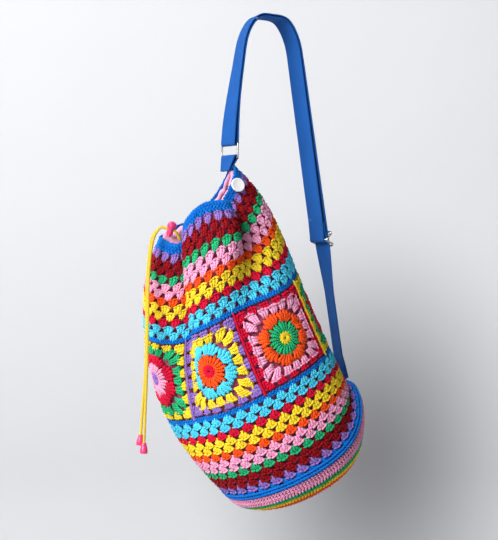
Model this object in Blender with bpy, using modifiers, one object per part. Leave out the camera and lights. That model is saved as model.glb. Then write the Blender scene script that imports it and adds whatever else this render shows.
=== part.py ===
"""Crocheted bucket backpack that hangs by its strap.

Blender 4.5, metres, +Z up, seen from -Y. The origin is the point under the strap's highest turn
that the bag hangs from. The bag leans to the left, with its mouth up and its base down to the right.
"""
import math

import bmesh
import bpy
import numpy as np
from mathutils import Matrix, Vector

# Crocheted wall, in the order that it is worked up from the base
SQUARES_ROUND = 6
SQUARE_SIDE = 0.107
SQUARE_HEIGHT = 0.110
LOWER_ROW = 0.00933
UPPER_ROW = 0.00967
RIM_HEIGHT = 0.014
LINE_HEIGHT = 0.005
BORDER_HEIGHT = 0.013
BASE_DEPTH = 0.042
ROW_SWING = 0.0019
CREST_HIGH = 0.0038
CREST_LOW = 0.0020
EDGE_HEIGHT = 0.0012
YARN_GAP = 0.0003
CROWDING = 2.0
SQUARE_GAP = 0.0006

# Lining and its gathered hem
LINING_THICKNESS = 0.0012
LINING_GAP = 0.0032
HEM_RISE = 0.010
HEM_RISE_TURN = 0.537
HEM_RISE_WIDTH = 0.070
HEM_SINK = 0.001
HEM_TUCK = 0.008
HEM_EXIT = 0.026
HEM_EXIT_STEP = 0.010
EYELET_GAP = 0.0024
HEM_THICKNESS = 0.0036

# How the bag hangs
MOUTH_CENTRE = (-0.0870, -0.0500, -0.2515)
WALL_DRAW = 0.886
SEAM_TURN = 0.124

# Strap: a flat loop whose plane is turned from the view, its tail sewn to the base's rim
WEBBING_WIDTH = 0.030
WEBBING_THICKNESS = 0.0018
LAYER_GAP = 0.0012
STRAP_TURN = math.radians(35)
LEG_TWIST = math.radians(-14)
TAIL_TWIST = math.radians(-16)
TAB_TWIST = math.radians(-14)
TAIL_TURN = 0.968
TAIL_RUN = (0.1743, -0.9847)
TAIL_START = (0.0465, -0.0600)
SLIDER_DROP = 0.2745
INNER_LAYER_END = 0.046
SLACK_SPREAD = 0.0060
TAB_TURN = 0.983
TAB_SHIFT = 0.0040
TAB_LEAN = 0.0020
TAB_DRAW = 0.0056

# Ring and slider
RING_WIRE = 0.0012
RING_HEIGHT = 0.0181
RING_CORNER = 0.0022
RING_PLACE = (-0.0577, -0.1577)
SIDE_PLAY = 0.0010
BAR_PLAY = 0.0008
SLIDER_WIRE = 0.0013
SLIDER_HEIGHT = 0.0180
BOW_HEIGHT = 0.55
BOW_SLOPE = 1.18
BAR_SLIMNESS = 0.96
BAR_SIDES = 10
SLIDE_PLAY = 0.0006
FOLD_PLAY = 0.0004
FOLD_REACH = 0.026
FOLD_CLOSE = 0.012
FOLD_STAGGER = 0.003
FOLD_SINK = 0.0006

# Drawstring, lock, cord ends and button
CORD_RADIUS = 0.0017
CORD_PLAY = 0.0003
LOCK_TURN = 0.552
LOCK_STANDOFF = 0.0115
LOCK_RISE = 0.0120
LOCK_SLIDE = 0.0040
LOCK_RADIUS = 0.0060
LOCK_DEPTH = 1.45
LOCK_NECK = 0.0042
LOCK_AXIS = (-0.30, 0.0, -0.95)
LOCK_HEAD_RISE = 0.0045
LOCK_NECK_END = 0.0065
BORE_RADIUS = 0.0027
BORE_DEPTH = 1.85
PLUNGER_PLAY = 0.0003
PLUNGER_TRAVEL = 0.0025
PLUNGER_TOP = 0.0034
BUTTON_END = 0.0090
PLUNGER_RADIUS = 0.0029
SPRING_WIRE = 0.0002
SPRING_RADIUS = 0.0022
SPRING_TURNS = 4
SPRING_POINTS = 8
SPRING_SOLID = 0.0020
END_LENGTH = 0.0130
END_RADIUS = 0.0048
END_NECK = 0.0030
END_BORE = 0.0050
BUTTON_RADIUS = 0.0088
BUTTON_THICKNESS = 0.0026
BUTTON_SHANK = 0.0020
BUTTON_TURN = 0.088
BUTTON_DROP = 0.008
CORD_HANG = (
    (-0.0204, -0.0072), (-0.0250, -0.0290), (-0.0278, -0.0653), (-0.0287, -0.1210), (-0.0297, -0.1682),
)
BACK_END = (-0.0369, -0.2530, 0.0055)
FRONT_END = (-0.0321, -0.2620, -0.0055)

COLUMNS = 48
GRID_TURNS = 288
ROUND_SIDES = 16

COLOURS = {
    "blue": (0.004, 0.190, 0.680),
    "lilac": (0.376, 0.212, 0.665),
    "dark_red": (0.342, 0.006, 0.014),
    "green": (0.018, 0.371, 0.132),
    "pink": (0.913, 0.300, 0.479),
    "orange": (1.000, 0.095, 0.018),
    "yellow": (0.955, 0.618, 0.024),
    "crimson": (0.672, 0.008, 0.060),
    "turquoise": (0.080, 0.578, 0.791),
    "lining_pink": (0.955, 0.456, 0.638),
    "webbing_blue": (0.033, 0.157, 0.571),
    "cord_yellow": (0.913, 0.672, 0.070),
    "hot_pink": (0.871, 0.045, 0.188),
    "nickel": (0.640, 0.625, 0.600),
    "white": (0.930, 0.930, 0.910),
}
STRIPES = (
    ("lilac", 1), ("dark_red", 2), ("green", 1), ("pink", 2),
    ("orange", 1), ("yellow", 2), ("crimson", 1), ("turquoise", 2),
)
SQUARE_COLOURS = (
    ("yellow", "green", "orange", "pink", "crimson"),
    ("crimson", "orange", "turquoise", "yellow", "lilac"),
    ("lilac", "pink", "crimson", "green", "yellow"),
)
BASE_ROUNDS = (("pink", 0.021), ("green", 0.010), ("yellow", 0.010), ("orange", 0.018))

STRIPE_ROWS = sum(rows for _, rows in STRIPES)
GIRTH = SQUARES_ROUND * SQUARE_SIDE
RADIUS = GIRTH / math.tau
BAND_LOW = RIM_HEIGHT
LINE_LOW = BAND_LOW + STRIPE_ROWS * LOWER_ROW
SQUARES_LOW = LINE_LOW + LINE_HEIGHT
SQUARES_TOP = SQUARES_LOW + SQUARE_HEIGHT
BAND_TOP = SQUARES_TOP + LINE_HEIGHT
BORDER_LOW = BAND_TOP + STRIPE_ROWS * UPPER_ROW
WALL_TOP = BORDER_LOW + BORDER_HEIGHT
BASE_REACH = 1.08 * RADIUS

# Form of the hanging bag, by height up the wall (0 at the base, 1 at the mouth):
# tilt of a row, its lean towards the viewer, the wall's lean, half width and half depth over RADIUS
FORM = (
    (0.00, 27, 13, 37, 0.940, 0.900),
    (0.16, 26, 12, 34, 1.008, 0.960),
    (0.34, 25, 11, 27, 1.057, 0.930),
    (0.50, 23, 10, 20, 1.047, 0.890),
    (0.64, 25, 11, 17, 0.990, 0.860),
    (0.80, 28, 12, 15, 0.850, 0.783),
    (0.91, 31, 13, 12, 0.690, 0.685),
    (1.00, 34, 14, 9, 0.525, 0.580),
)
# Folds that the drawstring gathers: direction low down and at the mouth, depth as a share of the
# radius, width before and after the fold in degrees, and the heights where it starts and is full
FOLDS = (
    (142, 136, 0.48, 18, 25, 0.11, 0.80),
    (78, 27, 0.355, 17, 20, 0.46, 1.00),
    (106, 52, -0.14, 16, 26, 0.62, 1.00),
    (-75, -75, 0.24, 22, 22, 0.53, 1.00),
    (-130, -130, 0.22, 22, 22, 0.53, 1.00),
)
# Where the cloth is drawn up or sags: direction, rise at the mouth, width in degrees, start, full
RISES = (
    (-14, 0.032, 28, 0.53, 0.90),
    (205, 0.020, 50, 0.27, 0.85),
    (146, -0.018, 20, 0.21, 0.85),
    (85, 0.014, 40, 0.37, 0.85),
    (96, 0.015, 32, 0.80, 1.00),
    (36, -0.008, 16, 0.74, 1.00),
    (207, -0.017, 30, 0.80, 1.00),
    (262, -0.014, 34, 0.80, 1.00),
)
PEAK_DIRECTION = -12
PEAK_REACH = 0.03
PEAK_WIDTH = 24
PEAK_START = 0.58
STRAP_DIRECTION = -21

# Lip where the strap's tail pulls the base's rim up
LIP_DIRECTION = -17
LIP_WIDTH = 42
LIP_RISE = 0.042
LIP_FLARE = 0.011
LIP_HEIGHT = 0.050
CREASE_DEPTH = 0.0055
CREASE_HEIGHT = 0.026
CREASE_WIDTH = 0.020


def eased(value):
    value = np.clip(value, 0.0, 1.0)
    return value * value * (3.0 - 2.0 * value)


def form_at(height):
    """FORM's values at a height up the wall, on a smooth curve through its rows."""
    keys = np.array(FORM)
    x, y = keys[:, 0], keys[:, 1:]
    slope = np.diff(y, axis=0) / np.diff(x)[:, None]
    tangent = np.vstack([slope[:1], (slope[1:] + slope[:-1]) / 2.0, slope[-1:]])
    height = min(max(height, x[0]), x[-1])
    i = min(int(np.searchsorted(x, height, side="right")) - 1, len(x) - 2)
    span = x[i + 1] - x[i]
    t = (height - x[i]) / span
    start = (2 * t**3 - 3 * t**2 + 1) * y[i] + (t**3 - 2 * t**2 + t) * span * tangent[i]
    end = (3 * t**2 - 2 * t**3) * y[i + 1] + (t**3 - t**2) * span * tangent[i + 1]
    return start + end


def turned_from(directions, centre):
    """Degrees from a centre direction to each direction, between -180 and 180."""
    return (np.degrees(directions) - centre + 180.0) % 360.0 - 180.0


def wall_axis(height):
    """Unit vector up the wall's middle at a height."""
    _, nod, lean, _, _ = form_at(height)
    nod, lean = math.radians(nod), math.radians(lean)
    return np.array([-math.sin(lean) * math.cos(nod), -math.sin(nod), math.cos(lean) * math.cos(nod)])


def middle_line():
    """Points down the middle of the bag for even steps of height, from the base to the mouth."""
    heights = np.linspace(0.0, 1.0, 61)
    step = WALL_TOP * WALL_DRAW * (heights[1] - heights[0])
    points = [np.array(MOUTH_CENTRE)]
    for height in heights[:0:-1]:
        points.append(points[-1] - step * wall_axis(height))
    return heights, np.array(points[::-1])


MIDDLE_HEIGHTS, MIDDLE_POINTS = middle_line()


def wall_row(s):
    """Closed loop of points round the cloth at s metres up from the rim, or below it on the base."""
    height = max(s, 0.0) / WALL_TOP
    tilt, nod, _, half_width, half_depth = form_at(height)
    tilt, nod = math.radians(tilt), math.radians(nod)
    across = np.array([math.cos(tilt), 0.0, math.sin(tilt)])
    towards = np.array([
        math.sin(tilt) * math.sin(nod),
        -math.cos(nod),
        -math.cos(tilt) * math.sin(nod),
    ])
    upward = np.cross(towards, across)
    directions = np.radians(np.arange(GRID_TURNS * 2) * 180.0 / GRID_TURNS + STRAP_DIRECTION)
    radius = RADIUS / np.sqrt((np.cos(directions) / half_width) ** 2 + (np.sin(directions) / half_depth) ** 2)
    share = np.ones_like(directions)
    for low, top, depth, before, after, start, full in FOLDS:
        amount = float(eased((height - start) / (full - start)))
        turn = turned_from(directions, low + (top - low) * amount)
        share -= depth * amount * np.exp(-(turn / np.where(turn > 0.0, after, before)) ** 2)
    peak = np.abs(turned_from(directions, PEAK_DIRECTION) / PEAK_WIDTH)
    share += PEAK_REACH * float(eased((height - PEAK_START) / (1.0 - PEAK_START))) * np.exp(-peak**1.5)
    radius = radius * share
    lip = np.exp(-(turned_from(directions, LIP_DIRECTION) / LIP_WIDTH) ** 2)
    radius += LIP_FLARE * lip * math.exp(-(2.0 * s / LIP_HEIGHT) ** 2)
    radius -= CREASE_DEPTH * lip * math.exp(-((s - CREASE_HEIGHT) / CREASE_WIDTH) ** 2)
    draw = LIP_RISE * lip * math.exp(-(s / LIP_HEIGHT) ** 2)
    centre = np.array([np.interp(height, MIDDLE_HEIGHTS, MIDDLE_POINTS[:, k]) for k in range(3)])
    centre = centre + upward * max(s - WALL_TOP, 0.0)
    if s < 0.0:
        bow = min(-s / BASE_REACH, 1.0) * math.pi / 2.0
        radius = radius * math.cos(bow)
        draw = draw * math.cos(bow)
        centre = centre - upward * BASE_DEPTH * math.sin(bow)
    points = centre + np.outer(radius * np.cos(directions), across)
    points += np.outer(radius * np.sin(directions), towards) + np.outer(draw, upward)
    for direction, rise, width, start, full in RISES:
        amount = rise * float(eased((height - start) / (full - start)))
        points[:, 2] += amount * np.exp(-(turned_from(directions, direction) / width) ** 2)
    return points


def even_row(s):
    """GRID_TURNS points at equal lengths of cloth round the row at s."""
    loop = wall_row(s)
    loop = np.vstack([loop, loop[:1]])
    along = np.concatenate([[0.0], np.cumsum(np.linalg.norm(np.diff(loop, axis=0), axis=1))])
    wanted = np.arange(GRID_TURNS) / GRID_TURNS * along[-1]
    return np.stack([np.interp(wanted, along, loop[:, k]) for k in range(3)], axis=-1)


GRID_STEP = 0.004
GRID_LOW = -BASE_REACH
GRID_ROWS = int(math.ceil((WALL_TOP + HEM_RISE - GRID_LOW) / GRID_STEP)) + 1
GRID = np.array([even_row(GRID_LOW + j * GRID_STEP) for j in range(GRID_ROWS)])


def grid_normals():
    """Unit vectors out of the cloth at each point of the grid."""
    round_way = np.roll(GRID, -1, axis=1) - np.roll(GRID, 1, axis=1)
    up_way = np.gradient(GRID, axis=0)
    out = np.cross(up_way, round_way)
    return out / np.maximum(np.linalg.norm(out, axis=2, keepdims=True), 1e-9)


GRID_OUT = grid_normals()
BEND_COLUMNS = 3
BEND_ROWS = 2


def grid_bends():
    """Curvature at each point of the grid: how far it bulges, and how far it is hollow."""
    padded = np.concatenate([GRID[:1]] * BEND_ROWS + [GRID] + [GRID[-1:]] * BEND_ROWS)
    pairs = (
        (np.roll(GRID, BEND_COLUMNS, axis=1), np.roll(GRID, -BEND_COLUMNS, axis=1)),
        (padded[:-2 * BEND_ROWS], padded[2 * BEND_ROWS:]),
    )
    bulge = np.zeros(GRID.shape[:2])
    hollow = np.zeros(GRID.shape[:2])
    for before, after in pairs:
        span = np.maximum(np.sum((after - before) ** 2, axis=2) / 4.0, 1e-8)
        bend = -np.sum((before + after - 2.0 * GRID) * GRID_OUT, axis=2) / span
        bulge = np.maximum(bulge, bend)
        hollow = np.maximum(hollow, -bend)
    return bulge[..., None], hollow[..., None]


GRID_BULGE, GRID_HOLLOW = grid_bends()


def sample(field, turns, s):
    """Value of a grid of vectors at turns (1 is once round) and s metres up the wall."""
    column = (np.asarray(turns, float) % 1.0) * GRID_TURNS
    row = np.clip((np.asarray(s, float) - GRID_LOW) / GRID_STEP, 0.0, GRID_ROWS - 1.001)
    left = np.floor(column).astype(int) % GRID_TURNS
    right = (left + 1) % GRID_TURNS
    low = np.floor(row).astype(int)
    a = (column - np.floor(column))[..., None]
    b = (row - low)[..., None]
    lower = field[low, left] * (1.0 - a) + field[low, right] * a
    upper = field[low + 1, left] * (1.0 - a) + field[low + 1, right] * a
    return lower * (1.0 - b) + upper * b


def cloth(turns, s, lift):
    """Points on the bag, lift metres out of the cloth, less where a tight bend leaves no room."""
    turns, s, lift = np.broadcast_arrays(np.asarray(turns, float), s, lift)
    out = sample(GRID_OUT, turns, s)
    out = out / np.linalg.norm(out, axis=-1, keepdims=True)
    lift = lift[..., None]
    bend = np.where(lift > 0.0, sample(GRID_HOLLOW, turns, s), sample(GRID_BULGE, turns, s))
    return sample(GRID, turns, s) + out * lift / (1.0 + CROWDING * bend * np.abs(lift))


def collection(name):
    made = bpy.data.collections.new(name)
    bpy.context.scene.collection.children.link(made)
    return made


for stale in list(bpy.data.objects):
    bpy.data.objects.remove(stale, do_unlink=True)

PARTS = collection("crochet_backpack")
CUTTERS = collection("cutters")


def material(colour, roughness=0.9, metallic=0.0):
    """Principled material of a named colour, made once."""
    found = bpy.data.materials.get(colour)
    if found:
        return found
    made = bpy.data.materials.new(colour)
    made.use_nodes = True
    shader = made.node_tree.nodes["Principled BSDF"]
    shader.inputs["Base Color"].default_value = (*COLOURS[colour], 1.0)
    shader.inputs["Roughness"].default_value = roughness
    shader.inputs["Metallic"].default_value = metallic
    made.diffuse_color = (*COLOURS[colour], 1.0)
    return made


def mesh_object(name, points, faces, *colours):
    """Object made of the points and faces, its first colour on every face."""
    mesh = bpy.data.meshes.new(name)
    mesh.from_pydata([tuple(p) for p in points], [], faces)
    for colour in colours:
        mesh.materials.append(material(colour))
    mesh.update()
    made = bpy.data.objects.new(name, mesh)
    PARTS.objects.link(made)
    return made


def loft(name, loops, *colours):
    """Closed ring of skin over loops of equal count, the last joined to the first."""
    count = len(loops[0])
    faces = []
    for k in range(len(loops)):
        low, high = k * count, (k + 1) % len(loops) * count
        for i in range(count):
            j = (i + 1) % count
            faces.append((low + i, high + i, high + j, low + j))
    return mesh_object(name, np.concatenate(loops), faces, *colours)


TURNS = np.arange(COLUMNS) / COLUMNS
ALTERNATE = np.where(np.arange(COLUMNS) % 2 == 0, 1.0, -1.0)


def row_edge(s, row, side):
    """Edge between two rows of clusters, swinging with them, half a gap to one side."""
    swing = ROW_SWING * ALTERNATE * (1.0 if row % 2 else -1.0)
    return cloth(TURNS, s + swing + side * YARN_GAP / 2.0, EDGE_HEIGHT)


def row_crest(s, row):
    """Crest of a row: high on its clusters, low on the holes between them."""
    phase = ALTERNATE * (1.0 if row % 2 else -1.0)
    lift = (CREST_HIGH + CREST_LOW) / 2.0 + phase * (CREST_HIGH - CREST_LOW) / 2.0
    return cloth(TURNS, s, lift)


def plain_edge(s, side):
    return cloth(TURNS, s + side * YARN_GAP / 2.0, EDGE_HEIGHT)


def stripe_band(prefix, low, row_height, stripes):
    """Eight rings of yarn, each one or two rows of clusters high, from low upwards."""
    row = 0
    for index, (colour, rows) in enumerate(stripes):
        start, end = low + row * row_height, low + (row + rows) * row_height
        bottom = plain_edge(start, 1) if index == 0 else row_edge(start, row, 1)
        top = plain_edge(end, -1) if index == len(stripes) - 1 else row_edge(end, row + rows, -1)
        crests = [row_crest(low + (row + k + 0.5) * row_height, row + k) for k in range(rows)]
        loft(f"{prefix}_{colour}", [bottom, *crests, top], colour)
        row += rows


def crochet_wall():
    """Both bands of stripes, the thin lines beside the squares, the border and the base's rim."""
    stripe_band("lower", BAND_LOW, LOWER_ROW, STRIPES)
    stripe_band("upper", BAND_TOP, UPPER_ROW, STRIPES[::-1])
    for name, low in (("lower_line", LINE_LOW), ("upper_line", SQUARES_TOP)):
        crest = cloth(TURNS, low + LINE_HEIGHT / 2.0, CREST_LOW + EDGE_HEIGHT)
        loft(name, [plain_edge(low, 1), crest, plain_edge(low + LINE_HEIGHT, -1)], "blue")
    border_crest = cloth(TURNS, BORDER_LOW + BORDER_HEIGHT / 2.0, CREST_HIGH)
    loft("top_border", [plain_edge(BORDER_LOW, 1), border_crest, plain_edge(WALL_TOP, -1)], "blue")
    rim_crests = [
        cloth(TURNS, RIM_HEIGHT * 0.20, CREST_HIGH + EDGE_HEIGHT),
        cloth(TURNS, RIM_HEIGHT * 0.45, CREST_LOW),
        cloth(TURNS, RIM_HEIGHT * 0.75, CREST_HIGH),
    ]
    loft("base_rim", [plain_edge(0.0, 1), *rim_crests, plain_edge(RIM_HEIGHT, -1)], "blue")


def base():
    """Domed base: rings of close rounds, and a closed middle."""
    s = 0.0
    for colour, reach in BASE_ROUNDS:
        end = s - reach
        crest = cloth(TURNS, (s + end) / 2.0, CREST_LOW + EDGE_HEIGHT)
        loft(f"base_{colour}", [plain_edge(end, 1), crest, plain_edge(s, -1)], colour)
        s = end
    turns = TURNS[::2]
    edge = cloth(turns, s - SQUARE_GAP, EDGE_HEIGHT)
    crest = cloth(turns, s * 0.8 - BASE_REACH * 0.2, CREST_LOW + EDGE_HEIGHT)
    pole, below = sample(GRID, 0.0, GRID_LOW), sample(GRID_OUT, 0.0, GRID_LOW + GRID_STEP * 2.0)
    middle_out, middle_in = pole + below * CREST_LOW, pole + below * EDGE_HEIGHT * 0.5
    count = len(turns)
    points = [*edge, *crest, middle_out, middle_in]
    faces = []
    for i in range(count):
        j = (i + 1) % count
        faces.append((i, j, count + j, count + i))
        faces.append((count + i, count + j, 2 * count))
        faces.append((j, i, 2 * count + 1))
    mesh_object("base_centre", points, faces, "turquoise")


def square_points(index, across, up, lift):
    """Points of a square: across and up run from -0.5 to 0.5 over its side and height."""
    inner = 1.0 - 2.0 * SQUARE_GAP / SQUARE_SIDE
    turns = SEAM_TURN + (index + 0.5 + np.asarray(across) * inner) / SQUARES_ROUND
    s = SQUARES_LOW + SQUARE_HEIGHT * (0.5 + np.asarray(up) * inner)
    return cloth(turns, s, lift)


def round_loop(index, radii, lift):
    """Loop of one point for each radius about a square's middle, the first straight right."""
    angle = np.arange(len(radii)) * math.tau / len(radii)
    return square_points(index, np.array(radii) * np.cos(angle), np.array(radii) * np.sin(angle), lift)


def square_outline(count):
    """Distance from the middle of a unit square to its edge, in even steps of its outline."""
    steps = np.arange(count) / count * 8.0
    points = []
    for step in steps:
        side, along = divmod((step + 1.0) % 8.0, 2.0)
        x, y = 1.0, along - 1.0
        for _ in range(int(side)):
            x, y = -y, x
        points.append((x / 2.0, y / 2.0))
    return np.array(points)


FRAME_POINTS = 20
PETALS = 8
PETAL_POINTS = 24
DISC_POINTS = 16
DISC_RADIUS = 0.205
FRAME_RADIUS = 0.383
PETAL_RADIUS = FRAME_RADIUS - 0.008
PETAL_WAVE = 0.020
FRAME_CREST = 0.84


def granny_square(index):
    """One square: the disc of its first two rounds, the petals of the third and the outer frame."""
    colours = SQUARE_COLOURS[index % len(SQUARE_COLOURS)]
    name = f"square_{index + 1}"
    rounds = ((DISC_RADIUS * 0.99, EDGE_HEIGHT), (DISC_RADIUS * 0.6, CREST_HIGH))
    disc = [round_loop(index, [radius] * DISC_POINTS, lift) for radius, lift in rounds]
    middle = square_points(index, [0.0, 0.0], [0.0, 0.0], [CREST_LOW, EDGE_HEIGHT])
    faces = []
    for i in range(DISC_POINTS):
        j = (i + 1) % DISC_POINTS
        faces.append((j, i, DISC_POINTS + i, DISC_POINTS + j))
        faces.append((DISC_POINTS + j, DISC_POINTS + i, 2 * DISC_POINTS))
        faces.append((i, j, 2 * DISC_POINTS + 1))
    made = mesh_object(f"{name}_disc", np.vstack([*disc, middle]), faces, colours[1], colours[0])
    for face in made.data.polygons:
        face.material_index = 1 if 2 * DISC_POINTS in face.vertices else 0
    wave = np.cos(np.arange(PETAL_POINTS) * math.tau * PETALS / PETAL_POINTS)
    inner = [DISC_RADIUS + SQUARE_GAP / SQUARE_SIDE] * PETAL_POINTS
    outer = PETAL_RADIUS - PETAL_WAVE + PETAL_WAVE * wave
    crest_lift = CREST_HIGH * 0.85 + CREST_LOW * 0.3 * wave
    loft(f"{name}_petals", [
        round_loop(index, outer, EDGE_HEIGHT),
        round_loop(index, (outer + DISC_RADIUS) / 2.0, crest_lift),
        round_loop(index, inner, EDGE_HEIGHT),
    ], colours[2])
    outline = square_outline(FRAME_POINTS)
    spread = np.hypot(outline[:, 0], outline[:, 1])
    ring = outline / spread[:, None] * FRAME_RADIUS
    mid = outline * FRAME_CREST
    frame = loft(f"{name}_frame", [
        square_points(index, outline[:, 0], outline[:, 1], EDGE_HEIGHT),
        square_points(index, mid[:, 0], mid[:, 1], CREST_HIGH),
        square_points(index, ring[:, 0], ring[:, 1], EDGE_HEIGHT),
    ], colours[3], colours[4])
    for face in list(frame.data.polygons)[:FRAME_POINTS]:
        face.material_index = 1


def hem_rise(turns):
    """How far the hem stands over the border: under it but for the end that the cord leaves."""
    away = (np.asarray(turns) - HEM_RISE_TURN) / HEM_RISE_WIDTH
    return (HEM_RISE + HEM_SINK) * np.exp(-away**2) - HEM_SINK


def lining_loops(heights):
    """The lining's outer loops at the heights, and its inner ones."""
    outer = [cloth(TURNS, s, -LINING_GAP) for s in heights]
    inner = [cloth(TURNS, s, -LINING_GAP - LINING_THICKNESS) for s in heights]
    return outer, inner


def lining():
    """Cloth bag inside the crochet in three lengths: foot, wall and the thick gathered hem."""
    half_gap = YARN_GAP / 2.0
    outer, inner = lining_loops([-BASE_REACH * 0.5, 0.0, CREASE_HEIGHT - half_gap])
    loops = [*outer, *inner[::-1]]
    below = sample(GRID_OUT, 0.0, GRID_LOW + 2.0 * GRID_STEP)
    foot_out = sample(GRID, 0.0, GRID_LOW) - below * LINING_GAP
    foot_in = foot_out - below * LINING_THICKNESS
    points = np.concatenate([*loops, [foot_out, foot_in]])
    faces = []
    for k in range(len(loops) - 1):
        for i in range(COLUMNS):
            j = (i + 1) % COLUMNS
            low, high = k * COLUMNS, (k + 1) * COLUMNS
            faces.append((low + i, high + i, high + j, low + j))
    last = (len(loops) - 1) * COLUMNS
    for i in range(COLUMNS):
        j = (i + 1) % COLUMNS
        faces.append((i, j, len(points) - 2))
        faces.append((last + j, last + i, len(points) - 1))
    mesh_object("lining_base", points, faces, "lining_pink")

    outer, inner = lining_loops([CREASE_HEIGHT + half_gap, LINE_LOW, SQUARES_TOP - half_gap])
    loft("lining_wall", [*outer, *inner[::-1]], "lining_pink")

    edges = np.cumsum([rows for _, rows in STRIPES[::-1]]) * UPPER_ROW + BAND_TOP
    outer, inner = lining_loops([SQUARES_TOP + half_gap, *edges])
    rise = hem_rise(TURNS)
    hem_foot = WALL_TOP - BORDER_HEIGHT * 0.4
    outer.append(cloth(TURNS, hem_foot, -2.0 * YARN_GAP))
    inner.append(cloth(TURNS, hem_foot, -2.0 * YARN_GAP - HEM_THICKNESS))
    outer.append(cloth(TURNS, WALL_TOP + rise, -HEM_TUCK))
    inner.append(cloth(TURNS, WALL_TOP + rise - HEM_THICKNESS, -HEM_TUCK - HEM_THICKNESS))
    loft("lining_hem", [*outer, *inner[::-1]], "lining_pink")


STRAP_ACROSS = np.array([math.cos(STRAP_TURN), math.sin(STRAP_TURN), 0.0])
STRAP_SIDE = np.array([math.sin(STRAP_TURN), -math.cos(STRAP_TURN), 0.0])
UP = np.array([0.0, 0.0, 1.0])


def strap_point(across, height):
    return STRAP_ACROSS * across + UP * height


def smooth_path(points, step):
    """Evenly spaced points on a smooth curve through the given ones."""
    knots = np.array(points, float)
    padded = np.vstack([2 * knots[0] - knots[1], knots, 2 * knots[-1] - knots[-2]])
    fine = []
    for k in range(len(knots) - 1):
        a, b, c, d = padded[k:k + 4]
        for t in np.linspace(0.0, 1.0, 12, endpoint=False):
            turn = 2 * b + (c - a) * t + (2 * a - 5 * b + 4 * c - d) * t**2 + (3 * b - a - 3 * c + d) * t**3
            fine.append(turn / 2.0)
    fine.append(knots[-1])
    fine = np.array(fine)
    along = np.concatenate([[0.0], np.cumsum(np.linalg.norm(np.diff(fine, axis=0), axis=1))])
    wanted = np.linspace(0.0, along[-1], max(2, int(round(along[-1] / step)) + 1))
    return np.stack([np.interp(wanted, along, fine[:, k]) for k in range(fine.shape[1])], axis=-1)


def arc(centre, radius, start, end, steps):
    """Points of an arc in the strap's plane, angles in degrees from its across direction."""
    angles = np.radians(np.linspace(start, end, steps + 1))
    return [(centre[0] + radius * math.cos(a), centre[1] + radius * math.sin(a)) for a in angles]


def ribbon(name, path, sides, colour, thickness=WEBBING_THICKNESS, width=WEBBING_WIDTH):
    """Strip of webbing along a path, its width along each point's side, thickened evenly."""
    path, sides = np.array(path), np.array(sides)
    points = np.concatenate([path - sides * width / 2.0, path + sides * width / 2.0])
    count = len(path)
    faces = [(i, i + 1, count + i + 1, count + i) for i in range(count - 1)]
    made = mesh_object(name, points, faces, colour)
    shell = made.modifiers.new("thickness", "SOLIDIFY")
    shell.thickness = thickness
    shell.offset = 0.0
    shell.use_even_offset = True
    return made


def offset_path(path, distance):
    """Path in the strap's plane moved sideways, to the right of its direction when positive."""
    path = np.array(path)
    run = np.gradient(path, axis=0)
    run /= np.linalg.norm(run, axis=1, keepdims=True)
    return path + np.stack([run[:, 1], -run[:, 0]], axis=-1) * distance


LAYER_STEP = WEBBING_THICKNESS + LAYER_GAP
RING_FOLD = RING_WIRE + BAR_PLAY + WEBBING_THICKNESS / 2.0
TAIL_OUT = np.array([-TAIL_RUN[1], TAIL_RUN[0]])


def tail_point(distance, out=0.0):
    """Point on the straight tail at a distance down it, out of the loop when out is positive."""
    across, height = np.array(TAIL_START) + np.array(TAIL_RUN) * distance + TAIL_OUT * out
    return np.array([across, height])


SLIDER_DISTANCE = (-SLIDER_DROP - TAIL_START[1]) / TAIL_RUN[1]
TAIL_SPREAD = WEBBING_WIDTH / 2.0 / GIRTH
RIM_NEAR, RIM_MIDDLE, RIM_FAR = (
    cloth([TAIL_TURN + TAIL_SPREAD * k], RIM_HEIGHT * 0.7, CREST_HIGH)[0] for k in (1, 0, -1)
)
RIM_SLOPE = (RIM_NEAR[2] - RIM_FAR[2]) / WEBBING_WIDTH
TAIL_END = (RIM_MIDDLE[2] + WEBBING_THICKNESS - TAIL_START[1]) / TAIL_RUN[1]


def strap_twist(point):
    """Turn of the webbing's width about its run: none at the ring, a little below the apex."""
    across, height = point
    if across < 0.0:
        return LEG_TWIST * float(eased((0.160 + height) / 0.14) * eased(-across / 0.036))
    return TAIL_TWIST * float(eased((-SLIDER_DROP - height) / 0.075))


def strap_sides(path):
    """Width directions along a path in the strap's plane."""
    run = np.gradient(np.array(path), axis=0)
    run /= np.linalg.norm(run, axis=1, keepdims=True)
    sides = []
    for point, direction in zip(path, run):
        along = (STRAP_ACROSS * direction[0] + UP * direction[1]) * (1.0 if direction[1] > 0.0 else -1.0)
        sides.append(Matrix.Rotation(strap_twist(point), 3, Vector(along)) @ Vector(STRAP_SIDE))
    return sides


def strap_layers():
    """Outer and inner layers from the ring, over the apex and down to the tail's straight run."""
    ring_left = RING_PLACE[0] - RING_FOLD
    outer = smooth_path([
        (ring_left, RING_PLACE[1]), (-0.0570, -0.1228), (-0.0474, -0.0655), (-0.0385, -0.0240),
        (-0.0225, -0.0005), (0.0, LAYER_STEP + WEBBING_THICKNESS / 2.0), (0.0225, -0.0010),
        (0.0385, -0.0250), TAIL_START,
    ], 0.013)
    spread = np.interp(outer[:, 1], [RING_PLACE[1], -0.10], [2.0 * RING_FOLD, LAYER_STEP])
    spread = np.where(outer[:, 0] < 0.0, spread, LAYER_STEP)
    return outer, offset_path(outer, spread[:, None])


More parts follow.
